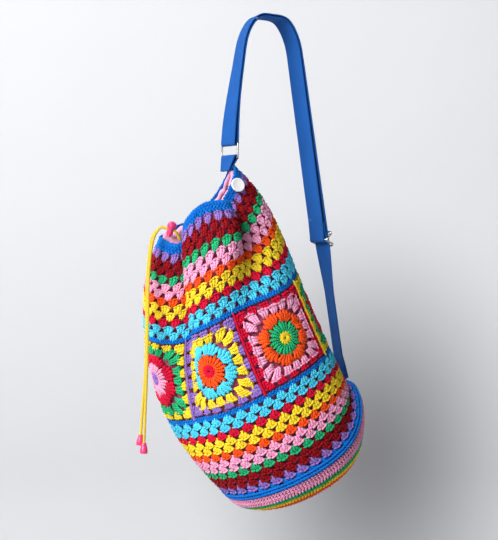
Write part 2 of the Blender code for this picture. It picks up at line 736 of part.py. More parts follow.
def strap():
    """Webbing, the slack layer that ends at the slider, and the fold sewn round its bar."""
    outer, inner = strap_layers()
    inner = [point for point in inner if point[0] < 0.0 or point[1] > -INNER_LAYER_END]
    ring_turn = arc(RING_PLACE, RING_FOLD, 180.0, 360.0, 8)
    tail = [tail_point(d) for d in np.linspace(0.0, TAIL_END, 16)][1:]
    path = [*inner[::-1], *ring_turn[::-1][1:-1], *outer, *tail]
    sides = strap_sides(path)
    sides[-1] = STRAP_SIDE + UP * RIM_SLOPE
    ribbon("strap_webbing", [strap_point(*p) for p in path], sides, "webbing_blue")

    near = -SLACK_SPREAD
    bar_out = slider_bar_out()
    fold_radius = SLIDER_WIRE + FOLD_PLAY + WEBBING_THICKNESS / 2.0
    fold_top = SLIDER_DISTANCE - FOLD_REACH
    top = np.array(inner[-1]) + np.array(TAIL_RUN) * YARN_GAP
    bottom = tail_point(fold_top - YARN_GAP, near)
    slack = [top + (bottom - top) * k for k in np.linspace(0.0, 1.0, 6)]
    ribbon("strap_slack_layer", [strap_point(*p) for p in slack], strap_sides(slack), "webbing_blue")

    fold = [tail_point(fold_top, near), tail_point(SLIDER_DISTANCE - FOLD_CLOSE, near - FOLD_SINK)]
    for angle in np.radians(np.linspace(180.0, 360.0, 9)):
        fold.append(tail_point(
            SLIDER_DISTANCE - math.sin(angle) * fold_radius,
            bar_out + math.cos(angle) * fold_radius,
        ))
    inward = near + WEBBING_THICKNESS + FOLD_PLAY
    fold.append(tail_point(SLIDER_DISTANCE - FOLD_CLOSE, inward))
    fold.append(tail_point(fold_top + FOLD_STAGGER, inward))
    ribbon("strap_end_fold", [strap_point(*p) for p in fold], strap_sides(fold), "webbing_blue")


def slider_bar_out():
    """Centre bar's distance out of the tail's run: on the near side of the webbing."""
    return -(WEBBING_THICKNESS * 1.5 + SLIDE_PLAY + FOLD_PLAY + SLIDER_WIRE)


def rounded_rectangle(width, height, corner, steps=3):
    """Outline about the middle of a rectangle with rounded corners."""
    points = []
    for quarter in range(4):
        sx, sy = ((1, 1), (-1, 1), (-1, -1), (1, -1))[quarter]
        for k in range(steps + 1):
            angle = math.radians(90.0 * (quarter + k / steps))
            x = sx * (width / 2.0 - corner) + corner * math.cos(angle)
            y = sy * (height / 2.0 - corner) + corner * math.sin(angle)
            points.append((x, y))
    return points


def wire_loop(name, points, radius, colour):
    """Closed loop of round wire."""
    curve = bpy.data.curves.new(name, "CURVE")
    curve.dimensions = "3D"
    spline = curve.splines.new("POLY")
    spline.points.add(len(points) - 1)
    for place, point in zip(spline.points, points):
        place.co = (*point, 1.0)
    spline.use_cyclic_u = True
    curve.bevel_depth = radius
    curve.bevel_resolution = 2
    curve.materials.append(material(colour, 0.25, 1.0))
    made = bpy.data.objects.new(name, curve)
    PARTS.objects.link(made)
    return made


def as_mesh(made):
    """The curve object's solid as a mesh object in its place."""
    mesh = bpy.data.meshes.new_from_object(made.evaluated_get(bpy.context.evaluated_depsgraph_get()))
    name, place = made.name, made.matrix_world.copy()
    bpy.data.objects.remove(made, do_unlink=True)
    work = bmesh.new()
    work.from_mesh(mesh)
    bmesh.ops.remove_doubles(work, verts=work.verts, dist=1e-6)
    work.to_mesh(mesh)
    work.free()
    solid = bpy.data.objects.new(name, mesh)
    solid.matrix_world = place
    PARTS.objects.link(solid)
    return solid


def solid(name, work, colour):
    """Object of a finished bmesh: one of the parts if it has a colour, else a cutter."""
    mesh = bpy.data.meshes.new(name)
    work.to_mesh(mesh)
    work.free()
    made = bpy.data.objects.new(name, mesh)
    if colour:
        mesh.materials.append(material(colour, 0.35))
        PARTS.objects.link(made)
    else:
        made.hide_render = True
        made.display_type = "WIRE"
        CUTTERS.objects.link(made)
    return made


def rod(name, radius, low, high, sides, depth=1.0, colour=None):
    """Upright cylinder from low to high about the origin, its Y drawn out by depth."""
    work = bmesh.new()
    place = Matrix.Translation((0.0, 0.0, (low + high) / 2.0)) @ Matrix.Diagonal((1.0, depth, 1.0, 1.0))
    bmesh.ops.create_cone(
        work, cap_ends=True, segments=sides, radius1=radius, radius2=radius, depth=high - low, matrix=place,
    )
    return solid(name, work, colour)


def ball(name, radius, height, depth):
    """Cutter ball at a height over the origin, its Y drawn out by depth."""
    work = bmesh.new()
    place = Matrix.Translation((0.0, 0.0, height)) @ Matrix.Diagonal((1.0, depth, 1.0, 1.0))
    bmesh.ops.create_uvsphere(
        work, u_segments=ROUND_SIDES, v_segments=ROUND_SIDES // 2, radius=radius, matrix=place,
    )
    return solid(name, work, None)


def block(name, size, middle):
    """Cutter box of a size about its middle."""
    work = bmesh.new()
    bmesh.ops.create_cube(work, size=1.0, matrix=Matrix.Translation(middle) @ Matrix.Diagonal((*size, 1.0)))
    return solid(name, work, None)


def combine(made, other, operation):
    """Exact boolean of a part with another solid."""
    step = made.modifiers.new(operation.lower(), "BOOLEAN")
    step.operation = operation
    step.object = other
    step.solver = "EXACT"


def turned(name, profile, colour, sides=ROUND_SIDES):
    """Solid of revolution from a profile that runs from the top down at +X."""
    mesh = bpy.data.meshes.new(name)
    edges = [(i, i + 1) for i in range(len(profile) - 1)]
    mesh.from_pydata([(radius, 0.0, height) for radius, height in profile], edges, [])
    mesh.materials.append(material(colour, 0.35))
    made = bpy.data.objects.new(name, mesh)
    PARTS.objects.link(made)
    screw = made.modifiers.new("turn", "SCREW")
    screw.steps = sides
    screw.render_steps = sides
    screw.use_merge_vertices = True
    screw.merge_threshold = 0.00001
    screw.use_normal_calculate = True
    return made


def stand(made, origin, x_axis, y_axis, z_axis):
    """Sets an object's place and the directions of its axes."""
    turn = Matrix((x_axis, y_axis, z_axis)).transposed().to_4x4()
    made.matrix_world = Matrix.Translation(Vector(origin)) @ turn
    return made


def ring():
    """Rectangular ring between the strap and the tab, its origin on the bar in the strap's fold."""
    width = WEBBING_WIDTH + 2.0 * (SIDE_PLAY + RING_WIRE)
    outline = rounded_rectangle(width, RING_HEIGHT, RING_CORNER)
    points = [(x, 0.0, y - RING_HEIGHT / 2.0) for x, y in outline]
    made = wire_loop("rectangular_ring", points, RING_WIRE, "nickel")
    stand(made, strap_point(*RING_PLACE), -STRAP_SIDE, -STRAP_ACROSS, UP)


def slider():
    """Adjuster: a bowed frame behind the webbing with a centre bar in front of it."""
    bar_out = slider_bar_out()
    end_out = WEBBING_THICKNESS / 2.0 + SLIDE_PLAY + SLIDER_WIRE
    width = WEBBING_WIDTH + 2.0 * (SIDE_PLAY + SLIDER_WIRE)
    outline = rounded_rectangle(width, SLIDER_HEIGHT, 2.0 * SLIDER_WIRE)
    half = SLIDER_HEIGHT / 2.0
    points = []
    for index, (x, y) in enumerate(outline):
        points.append((x, end_out, y))
        if index % 4 == 3 and index in (7, 15):
            sign = -1.0 if index == 7 else 1.0
            for height in (BOW_HEIGHT, 0.0, -BOW_HEIGHT):
                bow = bar_out + (end_out - bar_out) * abs(height) * BOW_SLOPE
                points.append((sign * width / 2.0, bow, -sign * height * half))
    frame = as_mesh(wire_loop("slider_frame", points, SLIDER_WIRE, "nickel"))
    bar = rod("slider_bar", SLIDER_WIRE * BAR_SLIMNESS, -width / 2.0, width / 2.0, BAR_SIDES)
    outward = STRAP_ACROSS * TAIL_OUT[0] + UP * TAIL_OUT[1]
    upward = -(STRAP_ACROSS * TAIL_RUN[0] + UP * TAIL_RUN[1])
    origin = strap_point(*tail_point(SLIDER_DISTANCE))
    stand(frame, origin, STRAP_SIDE, outward, upward)
    stand(bar, origin + outward * bar_out, outward, upward, STRAP_SIDE)
    combine(frame, bar, "UNION")


def tab():
    """Folded piece of webbing round the ring's lower bar, turning into the peak of the mouth."""
    bar = np.array([RING_PLACE[0], RING_PLACE[1] - RING_HEIGHT])
    end = cloth([TAB_TURN], WALL_TOP - HEM_SINK, -HEM_TUCK / 2.0)[0][2] + 2.0 * WEBBING_THICKNESS
    drop = bar[1] - end
    outer = [bar + np.array([-RING_FOLD - TAB_LEAN * k, -drop * k]) for k in (0.33, 0.67, 1.0)]
    inner = [bar + np.array([RING_FOLD - TAB_DRAW * k, -drop * k]) for k in (1.0, 0.67, 0.33)]
    path = [*inner, *arc(bar, RING_FOLD, 0.0, 180.0, 8), *outer]
    points, sides = [], []
    for across, height in path:
        share = max(bar[1] - height, 0.0) / drop
        sides.append(Matrix.Rotation(TAB_TWIST * share, 3, Vector(UP)) @ Vector(STRAP_SIDE))
        points.append(strap_point(across, height) - STRAP_SIDE * TAB_SHIFT * share)
    ribbon("strap_tab", points, sides, "webbing_blue")


LOCK_DOWN = np.array(LOCK_AXIS) / np.linalg.norm(LOCK_AXIS)
LOCK_ALONG = np.array([LOCK_DOWN[2], 0.0, -LOCK_DOWN[0]])
LOCK_ORIGIN = cloth([LOCK_TURN], WALL_TOP + HEM_RISE * 0.3, -HEM_TUCK / 2.0)[0]
LOCK_ORIGIN = LOCK_ORIGIN + np.array([0.0, -LOCK_STANDOFF, LOCK_RISE])


def lock():
    """Cord lock: a ball with a neck, a plunger that nips both strands and the spring behind it."""
    axes = (-LOCK_ALONG, np.array([0.0, 1.0, 0.0]), -LOCK_DOWN)
    shell = rod(
        "cord_lock_shell", LOCK_NECK, -LOCK_NECK_END, LOCK_HEAD_RISE, ROUND_SIDES, LOCK_DEPTH, "hot_pink",
    )
    head = ball("lock_head", LOCK_RADIUS, LOCK_HEAD_RISE, LOCK_DEPTH)
    wall = LOCK_NECK - PLUNGER_RADIUS - PLUNGER_PLAY
    cavity_top = PLUNGER_TOP + PLUNGER_TRAVEL + SPRING_SOLID
    cavity = rod(
        "lock_cavity", PLUNGER_RADIUS + PLUNGER_PLAY, -LOCK_NECK_END * 2.0, cavity_top, ROUND_SIDES,
        (LOCK_NECK * LOCK_DEPTH - wall) / (PLUNGER_RADIUS + PLUNGER_PLAY),
    )
    bore = rod("lock_bore", BORE_RADIUS, -LOCK_RADIUS * 2.0, LOCK_RADIUS * 2.0, ROUND_SIDES, BORE_DEPTH)
    for made in (shell, head, cavity):
        stand(made, LOCK_ORIGIN, *axes)
    stand(bore, LOCK_ORIGIN, axes[2], axes[1], -axes[0])
    combine(shell, head, "UNION")
    combine(shell, cavity, "DIFFERENCE")
    combine(shell, bore, "DIFFERENCE")

    depth = (LOCK_NECK * LOCK_DEPTH - wall - PLUNGER_PLAY) / PLUNGER_RADIUS
    plunger = rod(
        "cord_lock_plunger", PLUNGER_RADIUS, -BUTTON_END, PLUNGER_TOP, ROUND_SIDES, depth, "hot_pink",
    )
    slot_width = 2.0 * (CORD_RADIUS + CORD_PLAY) + PLUNGER_TRAVEL
    slot = block(
        "plunger_slot", (slot_width, 4.0 * (CORD_RADIUS + CORD_PLAY), 4.0 * LOCK_RADIUS),
        (-PLUNGER_TRAVEL / 2.0, 0.0, 0.0),
    )
    stand(plunger, LOCK_ORIGIN, *axes)
    stand(slot, LOCK_ORIGIN, axes[2], axes[1], -axes[0])
    combine(plunger, slot, "DIFFERENCE")

    low, high = PLUNGER_TOP + PLUNGER_PLAY, cavity_top - PLUNGER_PLAY
    steps = SPRING_TURNS * SPRING_POINTS
    angles = np.linspace(0.0, SPRING_TURNS * math.tau, steps + 1)
    heights = np.linspace(low + SPRING_WIRE, high - SPRING_WIRE, steps + 1)
    curve = bpy.data.curves.new("cord_lock_spring", "CURVE")
    curve.dimensions = "3D"
    spline = curve.splines.new("POLY")
    spline.points.add(steps)
    for place, angle, height in zip(spline.points, angles, heights):
        place.co = (SPRING_RADIUS * math.cos(angle), SPRING_RADIUS * math.sin(angle), height, 1.0)
    curve.bevel_depth = SPRING_WIRE
    curve.bevel_resolution = 0
    curve.use_fill_caps = True
    curve.materials.append(material("nickel", 0.25, 1.0))
    spring = bpy.data.objects.new("cord_lock_spring", curve)
    PARTS.objects.link(spring)
    stand(spring, LOCK_ORIGIN, *axes)


def strand(name, side, end):
    """One end of the drawstring, from the hem through the lock and down, with its bell."""
    reach = LOCK_RADIUS + LOCK_SLIDE + CORD_RADIUS / 2.0
    offset = np.array([0.0, side * (CORD_RADIUS + CORD_PLAY / 2.0), 0.0])
    turn = LOCK_TURN - HEM_EXIT + side * HEM_EXIT_STEP
    hem = WALL_TOP + hem_rise(turn) / 2.0
    out = sample(GRID_OUT, [turn], [hem])[0]
    out /= np.linalg.norm(out)
    start = cloth([turn], hem, -HEM_TUCK / 2.0)[0] + out * EYELET_GAP
    enter = LOCK_ORIGIN + offset - LOCK_ALONG * (LOCK_NECK + CORD_RADIUS)
    lead = smooth_path([start, start + out * CORD_RADIUS * 3.0, enter, LOCK_ORIGIN + offset], CORD_RADIUS * 2.0)
    leave = LOCK_ORIGIN + offset + LOCK_ALONG * reach
    spread = np.array([-side * CORD_RADIUS * 0.6, side * CORD_RADIUS * 0.3, 0.0])
    hang = [LOCK_ORIGIN + offset + spread + np.array([x, 0.0, z]) for x, z in CORD_HANG]
    last = LOCK_ORIGIN + np.array([end[0], end[2], end[1]])
    bend = smooth_path([LOCK_ORIGIN + offset, leave, *hang, last], CORD_RADIUS * 6.0)
    path = [point for point in lead if point[0] > enter[0] + CORD_RADIUS / 2.0]
    path += [enter, leave, *(point for point in bend if point[0] < leave[0] - CORD_RADIUS)]
    curve = bpy.data.curves.new(name, "CURVE")
    curve.dimensions = "3D"
    spline = curve.splines.new("POLY")
    spline.points.add(len(path) - 1)
    for place, point in zip(spline.points, path):
        place.co = (*point, 1.0)
    curve.bevel_depth = CORD_RADIUS
    curve.bevel_resolution = 2
    curve.use_fill_caps = True
    curve.materials.append(material("cord_yellow"))
    made = bpy.data.objects.new(name, curve)
    PARTS.objects.link(made)

    bore = CORD_RADIUS + CORD_PLAY
    profile = [
        (0.0, -END_BORE), (bore, -END_BORE), (bore, 0.0), (END_NECK, 0.0),
        (END_NECK * 1.12, -END_LENGTH * 0.15), (END_RADIUS, -END_LENGTH * 0.85),
        (END_RADIUS * 0.85, -END_LENGTH), (0.0, -END_LENGTH),
    ]
    bell = turned(name.replace("strand", "end"), profile, "hot_pink")
    down = path[-1] - path[-3]
    down /= np.linalg.norm(down)
    side_way = np.cross((0.0, 1.0, 0.0), -down)
    side_way /= np.linalg.norm(side_way)
    origin = path[-1] - down * (END_BORE - CORD_PLAY)
    stand(bell, origin, side_way, np.cross(-down, side_way), -down)


def button():
    """Round button sewn to the border under the peak."""
    place = cloth([BUTTON_TURN], WALL_TOP - BUTTON_DROP, CREST_HIGH)[0]
    out = sample(GRID_OUT, [BUTTON_TURN], [WALL_TOP - BUTTON_DROP])[0]
    out /= np.linalg.norm(out)
    side_way = np.cross(UP, out)
    side_way /= np.linalg.norm(side_way)
    low, high = YARN_GAP, YARN_GAP + BUTTON_SHANK
    top = high + BUTTON_THICKNESS
    bevel = BUTTON_THICKNESS * 0.3
    profile = [
        (0.0, top), (BUTTON_RADIUS - bevel, top), (BUTTON_RADIUS, top - bevel), (BUTTON_RADIUS, high + bevel),
        (BUTTON_RADIUS - bevel, high), (BUTTON_SHANK, high), (BUTTON_SHANK, low), (0.0, low),
    ]
    made = turned("button", profile, "white", 20)
    stand(made, place, side_way, np.cross(out, side_way), out)


crochet_wall()
base()
for square in range(SQUARES_ROUND):
    granny_square(square)
lining()
strap()
tab()
ring()
slider()
lock()
strand("cord_strand_front", -1.0, FRONT_END)
strand("cord_strand_back", 1.0, BACK_END)
button()
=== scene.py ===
# %% [markdown]
# A crocheted bucket backpack hangs by its strap, leaning to the left, mouth up. The CAD model is
# loaded as a fixed frame first, so every stitch, thread and wire below is made in its coordinates.

# %% The frame
import math
from contextlib import contextmanager

import bmesh
import bpy
import numpy as np
from mathutils import Matrix, Vector


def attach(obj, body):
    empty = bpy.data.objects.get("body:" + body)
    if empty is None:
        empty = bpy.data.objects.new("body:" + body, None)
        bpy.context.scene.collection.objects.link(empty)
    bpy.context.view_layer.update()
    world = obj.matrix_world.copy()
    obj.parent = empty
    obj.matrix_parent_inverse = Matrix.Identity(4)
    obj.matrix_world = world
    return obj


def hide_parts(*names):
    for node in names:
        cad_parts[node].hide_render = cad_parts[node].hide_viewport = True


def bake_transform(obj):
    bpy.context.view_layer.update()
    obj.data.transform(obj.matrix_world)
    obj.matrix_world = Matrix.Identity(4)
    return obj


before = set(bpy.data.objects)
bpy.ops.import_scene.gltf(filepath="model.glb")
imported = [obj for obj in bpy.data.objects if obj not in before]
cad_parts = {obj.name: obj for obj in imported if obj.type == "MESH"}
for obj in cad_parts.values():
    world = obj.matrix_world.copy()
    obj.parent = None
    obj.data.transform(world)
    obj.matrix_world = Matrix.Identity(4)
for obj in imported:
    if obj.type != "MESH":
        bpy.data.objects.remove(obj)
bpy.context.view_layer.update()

# %% [markdown]
# The view is from straight in front and a good two metres away, level with the middle of the bag,
# through a long lens. A long lens keeps the stripes nearly as they are on the flat, and the level
# camera keeps the strap's two legs as upright as they hang.

# %% Camera
SENSOR = 36.0
LENS_PIXELS = 1840.0
PICTURE_PIXELS = 540.0
CAMERA_PLACE = (-0.02375, -2.3, -0.31375)
camera_data = bpy.data.cameras.new("camera")
camera_data.sensor_fit = "VERTICAL"
camera_data.sensor_height = SENSOR
camera_data.lens = SENSOR * LENS_PIXELS / PICTURE_PIXELS
camera = bpy.data.objects.new("camera", camera_data)
camera.location = CAMERA_PLACE
camera.rotation_euler = (math.radians(90.0), 0.0, 0.0)
bpy.context.scene.collection.objects.link(camera)
bpy.context.scene.camera = camera
print("camera", tuple(round(value, 3) for value in camera.location))

# %% [markdown]
# The sizes are those of the CAD, under the same names. A crocheter counts in clusters and rows: six
# squares round the body with six clusters along each side, and twelve rows in each striped band.
# Everything else follows from the size of one square.

# %% Sizes
SQUARES_ROUND = 6
SQUARE_SIDE = 0.107
SQUARE_HEIGHT = 0.110
LOWER_ROW = 0.00933
UPPER_ROW = 0.00967
RIM_HEIGHT = 0.014
LINE_HEIGHT = 0.005
BORDER_HEIGHT = 0.013
BASE_DEPTH = 0.042
CREST_HIGH = 0.0038
YARN_GAP = 0.0003
CROWDING = 2.0
LINING_THICKNESS = 0.0012
LINING_GAP = 0.0032
HEM_RISE = 0.010
HEM_RISE_TURN = 0.537
HEM_RISE_WIDTH = 0.070
HEM_SINK = 0.001
HEM_TUCK = 0.008
HEM_EXIT = 0.026
HEM_EXIT_STEP = 0.010
EYELET_GAP = 0.0024
MOUTH_CENTRE = (-0.0870, -0.0500, -0.2515)
WALL_DRAW = 0.886
SEAM_TURN = 0.124
STRIPES = (
    ("lilac", 1), ("dark_red", 2), ("green", 1), ("pink", 2),
    ("orange", 1), ("yellow", 2), ("crimson", 1), ("turquoise", 2),
)
SQUARE_COLOURS = (
    ("yellow", "green", "orange", "pink", "crimson"),
    ("crimson", "orange", "turquoise", "yellow", "lilac"),
    ("lilac", "pink", "crimson", "green", "yellow"),
)
BASE_ROUNDS = (("pink", 0.021, 5), ("green", 0.010, 2), ("yellow", 0.010, 2), ("orange", 0.018, 4))
STRIPE_ROWS = sum(rows for _, rows in STRIPES)
GIRTH = SQUARES_ROUND * SQUARE_SIDE
RADIUS = GIRTH / math.tau
BAND_LOW = RIM_HEIGHT
LINE_LOW = BAND_LOW + STRIPE_ROWS * LOWER_ROW
SQUARES_LOW = LINE_LOW + LINE_HEIGHT
SQUARES_TOP = SQUARES_LOW + SQUARE_HEIGHT
BAND_TOP = SQUARES_TOP + LINE_HEIGHT
BORDER_LOW = BAND_TOP + STRIPE_ROWS * UPPER_ROW
WALL_TOP = BORDER_LOW + BORDER_HEIGHT
BASE_REACH = 1.08 * RADIUS
CLUSTERS_ROUND = 6 * SQUARES_ROUND
PITCH = GIRTH / CLUSTERS_ROUND
print(f"girth {GIRTH:.3f} m, wall {WALL_TOP:.3f} m, cluster pitch {PITCH * 1000:.1f} mm")

# %% [markdown]
# The bag is limp, so its form is not a cylinder but what the weight and the drawstring make of it:
# a leaning pear with deep folds at the mouth and a lip where the strap pulls the base up. The wall
# is described row by row, as an oval whose tilt, width and folds change with height, and each row is
# divided into equal lengths of cloth. Then any stitch can be worked on the flat, where crochet is
# easy to lay out, and carried over to the hanging bag by its place round, its height and its lift.

# %% Form of the hanging bag
FORM = (
    (0.00, 27, 13, 37, 0.940, 0.900),
    (0.16, 26, 12, 34, 1.008, 0.960),
    (0.34, 25, 11, 27, 1.057, 0.930),
    (0.50, 23, 10, 20, 1.047, 0.890),
    (0.64, 25, 11, 17, 0.990, 0.860),
    (0.80, 28, 12, 15, 0.850, 0.783),
    (0.91, 31, 13, 12, 0.690, 0.685),
    (1.00, 34, 14, 9, 0.525, 0.580),
)
FOLDS = (
    (142, 136, 0.48, 18, 25, 0.11, 0.80),
    (78, 27, 0.355, 17, 20, 0.46, 1.00),
    (106, 52, -0.14, 16, 26, 0.62, 1.00),
    (-75, -75, 0.24, 22, 22, 0.53, 1.00),
    (-130, -130, 0.22, 22, 22, 0.53, 1.00),
)
RISES = (
    (-14, 0.032, 28, 0.53, 0.90),
    (205, 0.020, 50, 0.27, 0.85),
    (146, -0.018, 20, 0.21, 0.85),
    (85, 0.014, 40, 0.37, 0.85),
    (96, 0.015, 32, 0.80, 1.00),
    (36, -0.008, 16, 0.74, 1.00),
    (207, -0.017, 30, 0.80, 1.00),
    (262, -0.014, 34, 0.80, 1.00),
)
PEAK_DIRECTION = -12
PEAK_REACH = 0.03
PEAK_WIDTH = 24
PEAK_START = 0.58
STRAP_DIRECTION = -21
LIP_DIRECTION = -17
LIP_WIDTH = 42
LIP_RISE = 0.042
LIP_FLARE = 0.011
LIP_HEIGHT = 0.050
CREASE_DEPTH = 0.0055
CREASE_HEIGHT = 0.026
CREASE_WIDTH = 0.020
GRID_TURNS = 288
GRID_STEP = 0.004
BEND_COLUMNS = 3
BEND_ROWS = 2


def eased(value):
    """Smooth step from 0 to 1."""
    value = np.clip(value, 0.0, 1.0)
    return value * value * (3.0 - 2.0 * value)


def unit(vector):
    return vector / np.linalg.norm(vector)


def units(rows):
    """Rows of vectors, each made one long."""
    return rows / np.linalg.norm(rows, axis=1, keepdims=True)


def distances(path):
    """Length along a path at each of its points."""
    return np.concatenate([[0.0], np.cumsum(np.linalg.norm(np.diff(path, axis=0), axis=1))])


def between(wanted, along, rows):
    """Rows of values that lie along a path, at the wanted lengths of it."""
    return np.stack([np.interp(wanted, along, values) for values in np.array(rows).T], axis=-1)


def form_at(height):
    """FORM's values at a height up the wall, on a smooth curve through its rows."""
    keys = np.array(FORM)
    x, y = keys[:, 0], keys[:, 1:]
    slope = np.diff(y, axis=0) / np.diff(x)[:, None]
    tangent = np.vstack([slope[:1], (slope[1:] + slope[:-1]) / 2.0, slope[-1:]])
    height = min(max(height, x[0]), x[-1])
    i = min(int(np.searchsorted(x, height, side="right")) - 1, len(x) - 2)
    span = x[i + 1] - x[i]
    t = (height - x[i]) / span
    start = (2 * t**3 - 3 * t**2 + 1) * y[i] + (t**3 - 2 * t**2 + t) * span * tangent[i]
    end = (3 * t**2 - 2 * t**3) * y[i + 1] + (t**3 - t**2) * span * tangent[i + 1]
    return start + end


def turned_from(directions, centre):
    """Degrees from a centre direction to each direction, between -180 and 180."""
    return (np.degrees(directions) - centre + 180.0) % 360.0 - 180.0


def wall_axis(height):
    """Unit vector up the wall's middle at a height."""
    _, nod, lean, _, _ = form_at(height)
    nod, lean = math.radians(nod), math.radians(lean)
    return np.array([-math.sin(lean) * math.cos(nod), -math.sin(nod), math.cos(lean) * math.cos(nod)])


def middle_line():
    """Points down the middle of the bag for even steps of height, from the base to the mouth."""
    heights = np.linspace(0.0, 1.0, 61)
    step = WALL_TOP * WALL_DRAW * (heights[1] - heights[0])
    points = [np.array(MOUTH_CENTRE)]
    for height in heights[:0:-1]:
        points.append(points[-1] - step * wall_axis(height))
    return heights, np.array(points[::-1])


MIDDLE_HEIGHTS, MIDDLE_POINTS = middle_line()


def wall_row(s):
    """Closed loop of points round the cloth at s metres up from the rim, or below it on the base."""
    height = max(s, 0.0) / WALL_TOP
    tilt, nod, _, half_width, half_depth = form_at(height)
    tilt, nod = math.radians(tilt), math.radians(nod)
    across = np.array([math.cos(tilt), 0.0, math.sin(tilt)])
    towards = np.array([math.sin(tilt) * math.sin(nod), -math.cos(nod), -math.cos(tilt) * math.sin(nod)])
    upward = np.cross(towards, across)
    directions = np.radians(np.arange(GRID_TURNS * 2) * 180.0 / GRID_TURNS + STRAP_DIRECTION)
    radius = RADIUS / np.sqrt((np.cos(directions) / half_width) ** 2 + (np.sin(directions) / half_depth) ** 2)
    share = np.ones_like(directions)
    for low, top, depth, before, after, start, full in FOLDS:
        amount = float(eased((height - start) / (full - start)))
        turn = turned_from(directions, low + (top - low) * amount)
        share -= depth * amount * np.exp(-(turn / np.where(turn > 0.0, after, before)) ** 2)
    peak = np.abs(turned_from(directions, PEAK_DIRECTION) / PEAK_WIDTH)
    share += PEAK_REACH * float(eased((height - PEAK_START) / (1.0 - PEAK_START))) * np.exp(-peak**1.5)
    radius = radius * share
    lip = np.exp(-(turned_from(directions, LIP_DIRECTION) / LIP_WIDTH) ** 2)
    radius += LIP_FLARE * lip * math.exp(-(2.0 * s / LIP_HEIGHT) ** 2)
    radius -= CREASE_DEPTH * lip * math.exp(-((s - CREASE_HEIGHT) / CREASE_WIDTH) ** 2)
    draw = LIP_RISE * lip * math.exp(-(s / LIP_HEIGHT) ** 2)
    centre = between(height, MIDDLE_HEIGHTS, MIDDLE_POINTS)
    centre = centre + upward * max(s - WALL_TOP, 0.0)
    if s < 0.0:
        bow = min(-s / BASE_REACH, 1.0) * math.pi / 2.0
        radius = radius * math.cos(bow)
        draw = draw * math.cos(bow)
        centre = centre - upward * BASE_DEPTH * math.sin(bow)
    points = centre + np.outer(radius * np.cos(directions), across)
    points += np.outer(radius * np.sin(directions), towards) + np.outer(draw, upward)
    for direction, rise, width, start, full in RISES:
        amount = rise * float(eased((height - start) / (full - start)))
        points[:, 2] += amount * np.exp(-(turned_from(directions, direction) / width) ** 2)
    return points


def even_row(s):
    """GRID_TURNS points at equal lengths of cloth round the row at s."""
    loop = wall_row(s)
    loop = np.vstack([loop, loop[:1]])
    along = distances(loop)
    return between(np.arange(GRID_TURNS) / GRID_TURNS * along[-1], along, loop)


print("middle of the mouth", [round(float(value), 3) for value in MIDDLE_POINTS[-1]])

# %% [markdown]
# A grid of points over the whole cloth is made once. It knows where the cloth is, which way it faces
# and how tightly it bends, and every later piece is laid on the bag by looking it up.

# %% Grid of the cloth
GRID_LOW = -BASE_REACH
GRID_ROWS = int(math.ceil((WALL_TOP + HEM_RISE - GRID_LOW) / GRID_STEP)) + 1
GRID = np.array([even_row(GRID_LOW + j * GRID_STEP) for j in range(GRID_ROWS)])


def grid_normals():
    """Unit vectors out of the cloth at each point of the grid."""
    round_way = np.roll(GRID, -1, axis=1) - np.roll(GRID, 1, axis=1)
    up_way = np.gradient(GRID, axis=0)
    out = np.cross(up_way, round_way)
    return out / np.maximum(np.linalg.norm(out, axis=2, keepdims=True), 1e-9)


GRID_OUT = grid_normals()


def grid_bends():
    """Curvature at each point of the grid: how far it bulges, and how far it is hollow."""
    padded = np.concatenate([GRID[:1]] * BEND_ROWS + [GRID] + [GRID[-1:]] * BEND_ROWS)
    pairs = (
        (np.roll(GRID, BEND_COLUMNS, axis=1), np.roll(GRID, -BEND_COLUMNS, axis=1)),
        (padded[:-2 * BEND_ROWS], padded[2 * BEND_ROWS:]),
    )
    bulge = np.zeros(GRID.shape[:2])
    hollow = np.zeros(GRID.shape[:2])
    for before, after in pairs:
        span = np.maximum(np.sum((after - before) ** 2, axis=2) / 4.0, 1e-8)
        bend = -np.sum((before + after - 2.0 * GRID) * GRID_OUT, axis=2) / span
        bulge = np.maximum(bulge, bend)
        hollow = np.maximum(hollow, -bend)
    return bulge[..., None], hollow[..., None]


GRID_BULGE, GRID_HOLLOW = grid_bends()


def sample(field, turns, s):
    """Value of a grid of vectors at turns (1 is once round) and s metres up the wall."""
    column = (np.asarray(turns, float) % 1.0) * GRID_TURNS
    row = np.clip((np.asarray(s, float) - GRID_LOW) / GRID_STEP, 0.0, GRID_ROWS - 1.001)
    left = np.floor(column).astype(int) % GRID_TURNS
    right = (left + 1) % GRID_TURNS
    low = np.floor(row).astype(int)
    a = (column - np.floor(column))[..., None]
    b = (row - low)[..., None]
    lower = field[low, left] * (1.0 - a) + field[low, right] * a
    upper = field[low + 1, left] * (1.0 - a) + field[low + 1, right] * a
    return lower * (1.0 - b) + upper * b


def cloth(turns, s, lift):
    """Points on the bag, lift metres out of the cloth, less where a tight bend leaves no room."""
    turns, s, lift = np.broadcast_arrays(np.asarray(turns, float), s, lift)
    out = sample(GRID_OUT, turns, s)
    out = out / np.maximum(np.linalg.norm(out, axis=-1, keepdims=True), 1e-9)
    lift = lift[..., None]
    bend = np.where(lift > 0.0, sample(GRID_HOLLOW, turns, s), sample(GRID_BULGE, turns, s))
    return sample(GRID, turns, s) + out * lift / (1.0 + CROWDING * bend * np.abs(lift))


mouth = GRID[-4]
mouth_girth = float(np.sum(np.linalg.norm(mouth - np.roll(mouth, 1, axis=0), axis=1)))
print("cloth", GRID.shape, "mouth girth share", round(mouth_girth / GIRTH, 3))

# %% [markdown]
# Tubes and bands come next, because the cords are settled before anything else. A tube is a ring of
# points carried along a path without twisting. Its texture coordinates are in metres, along and
# round, so one braid or weave material fits every length.

# %% Meshes that follow a path
UP = np.array([0.0, 0.0, 1.0])


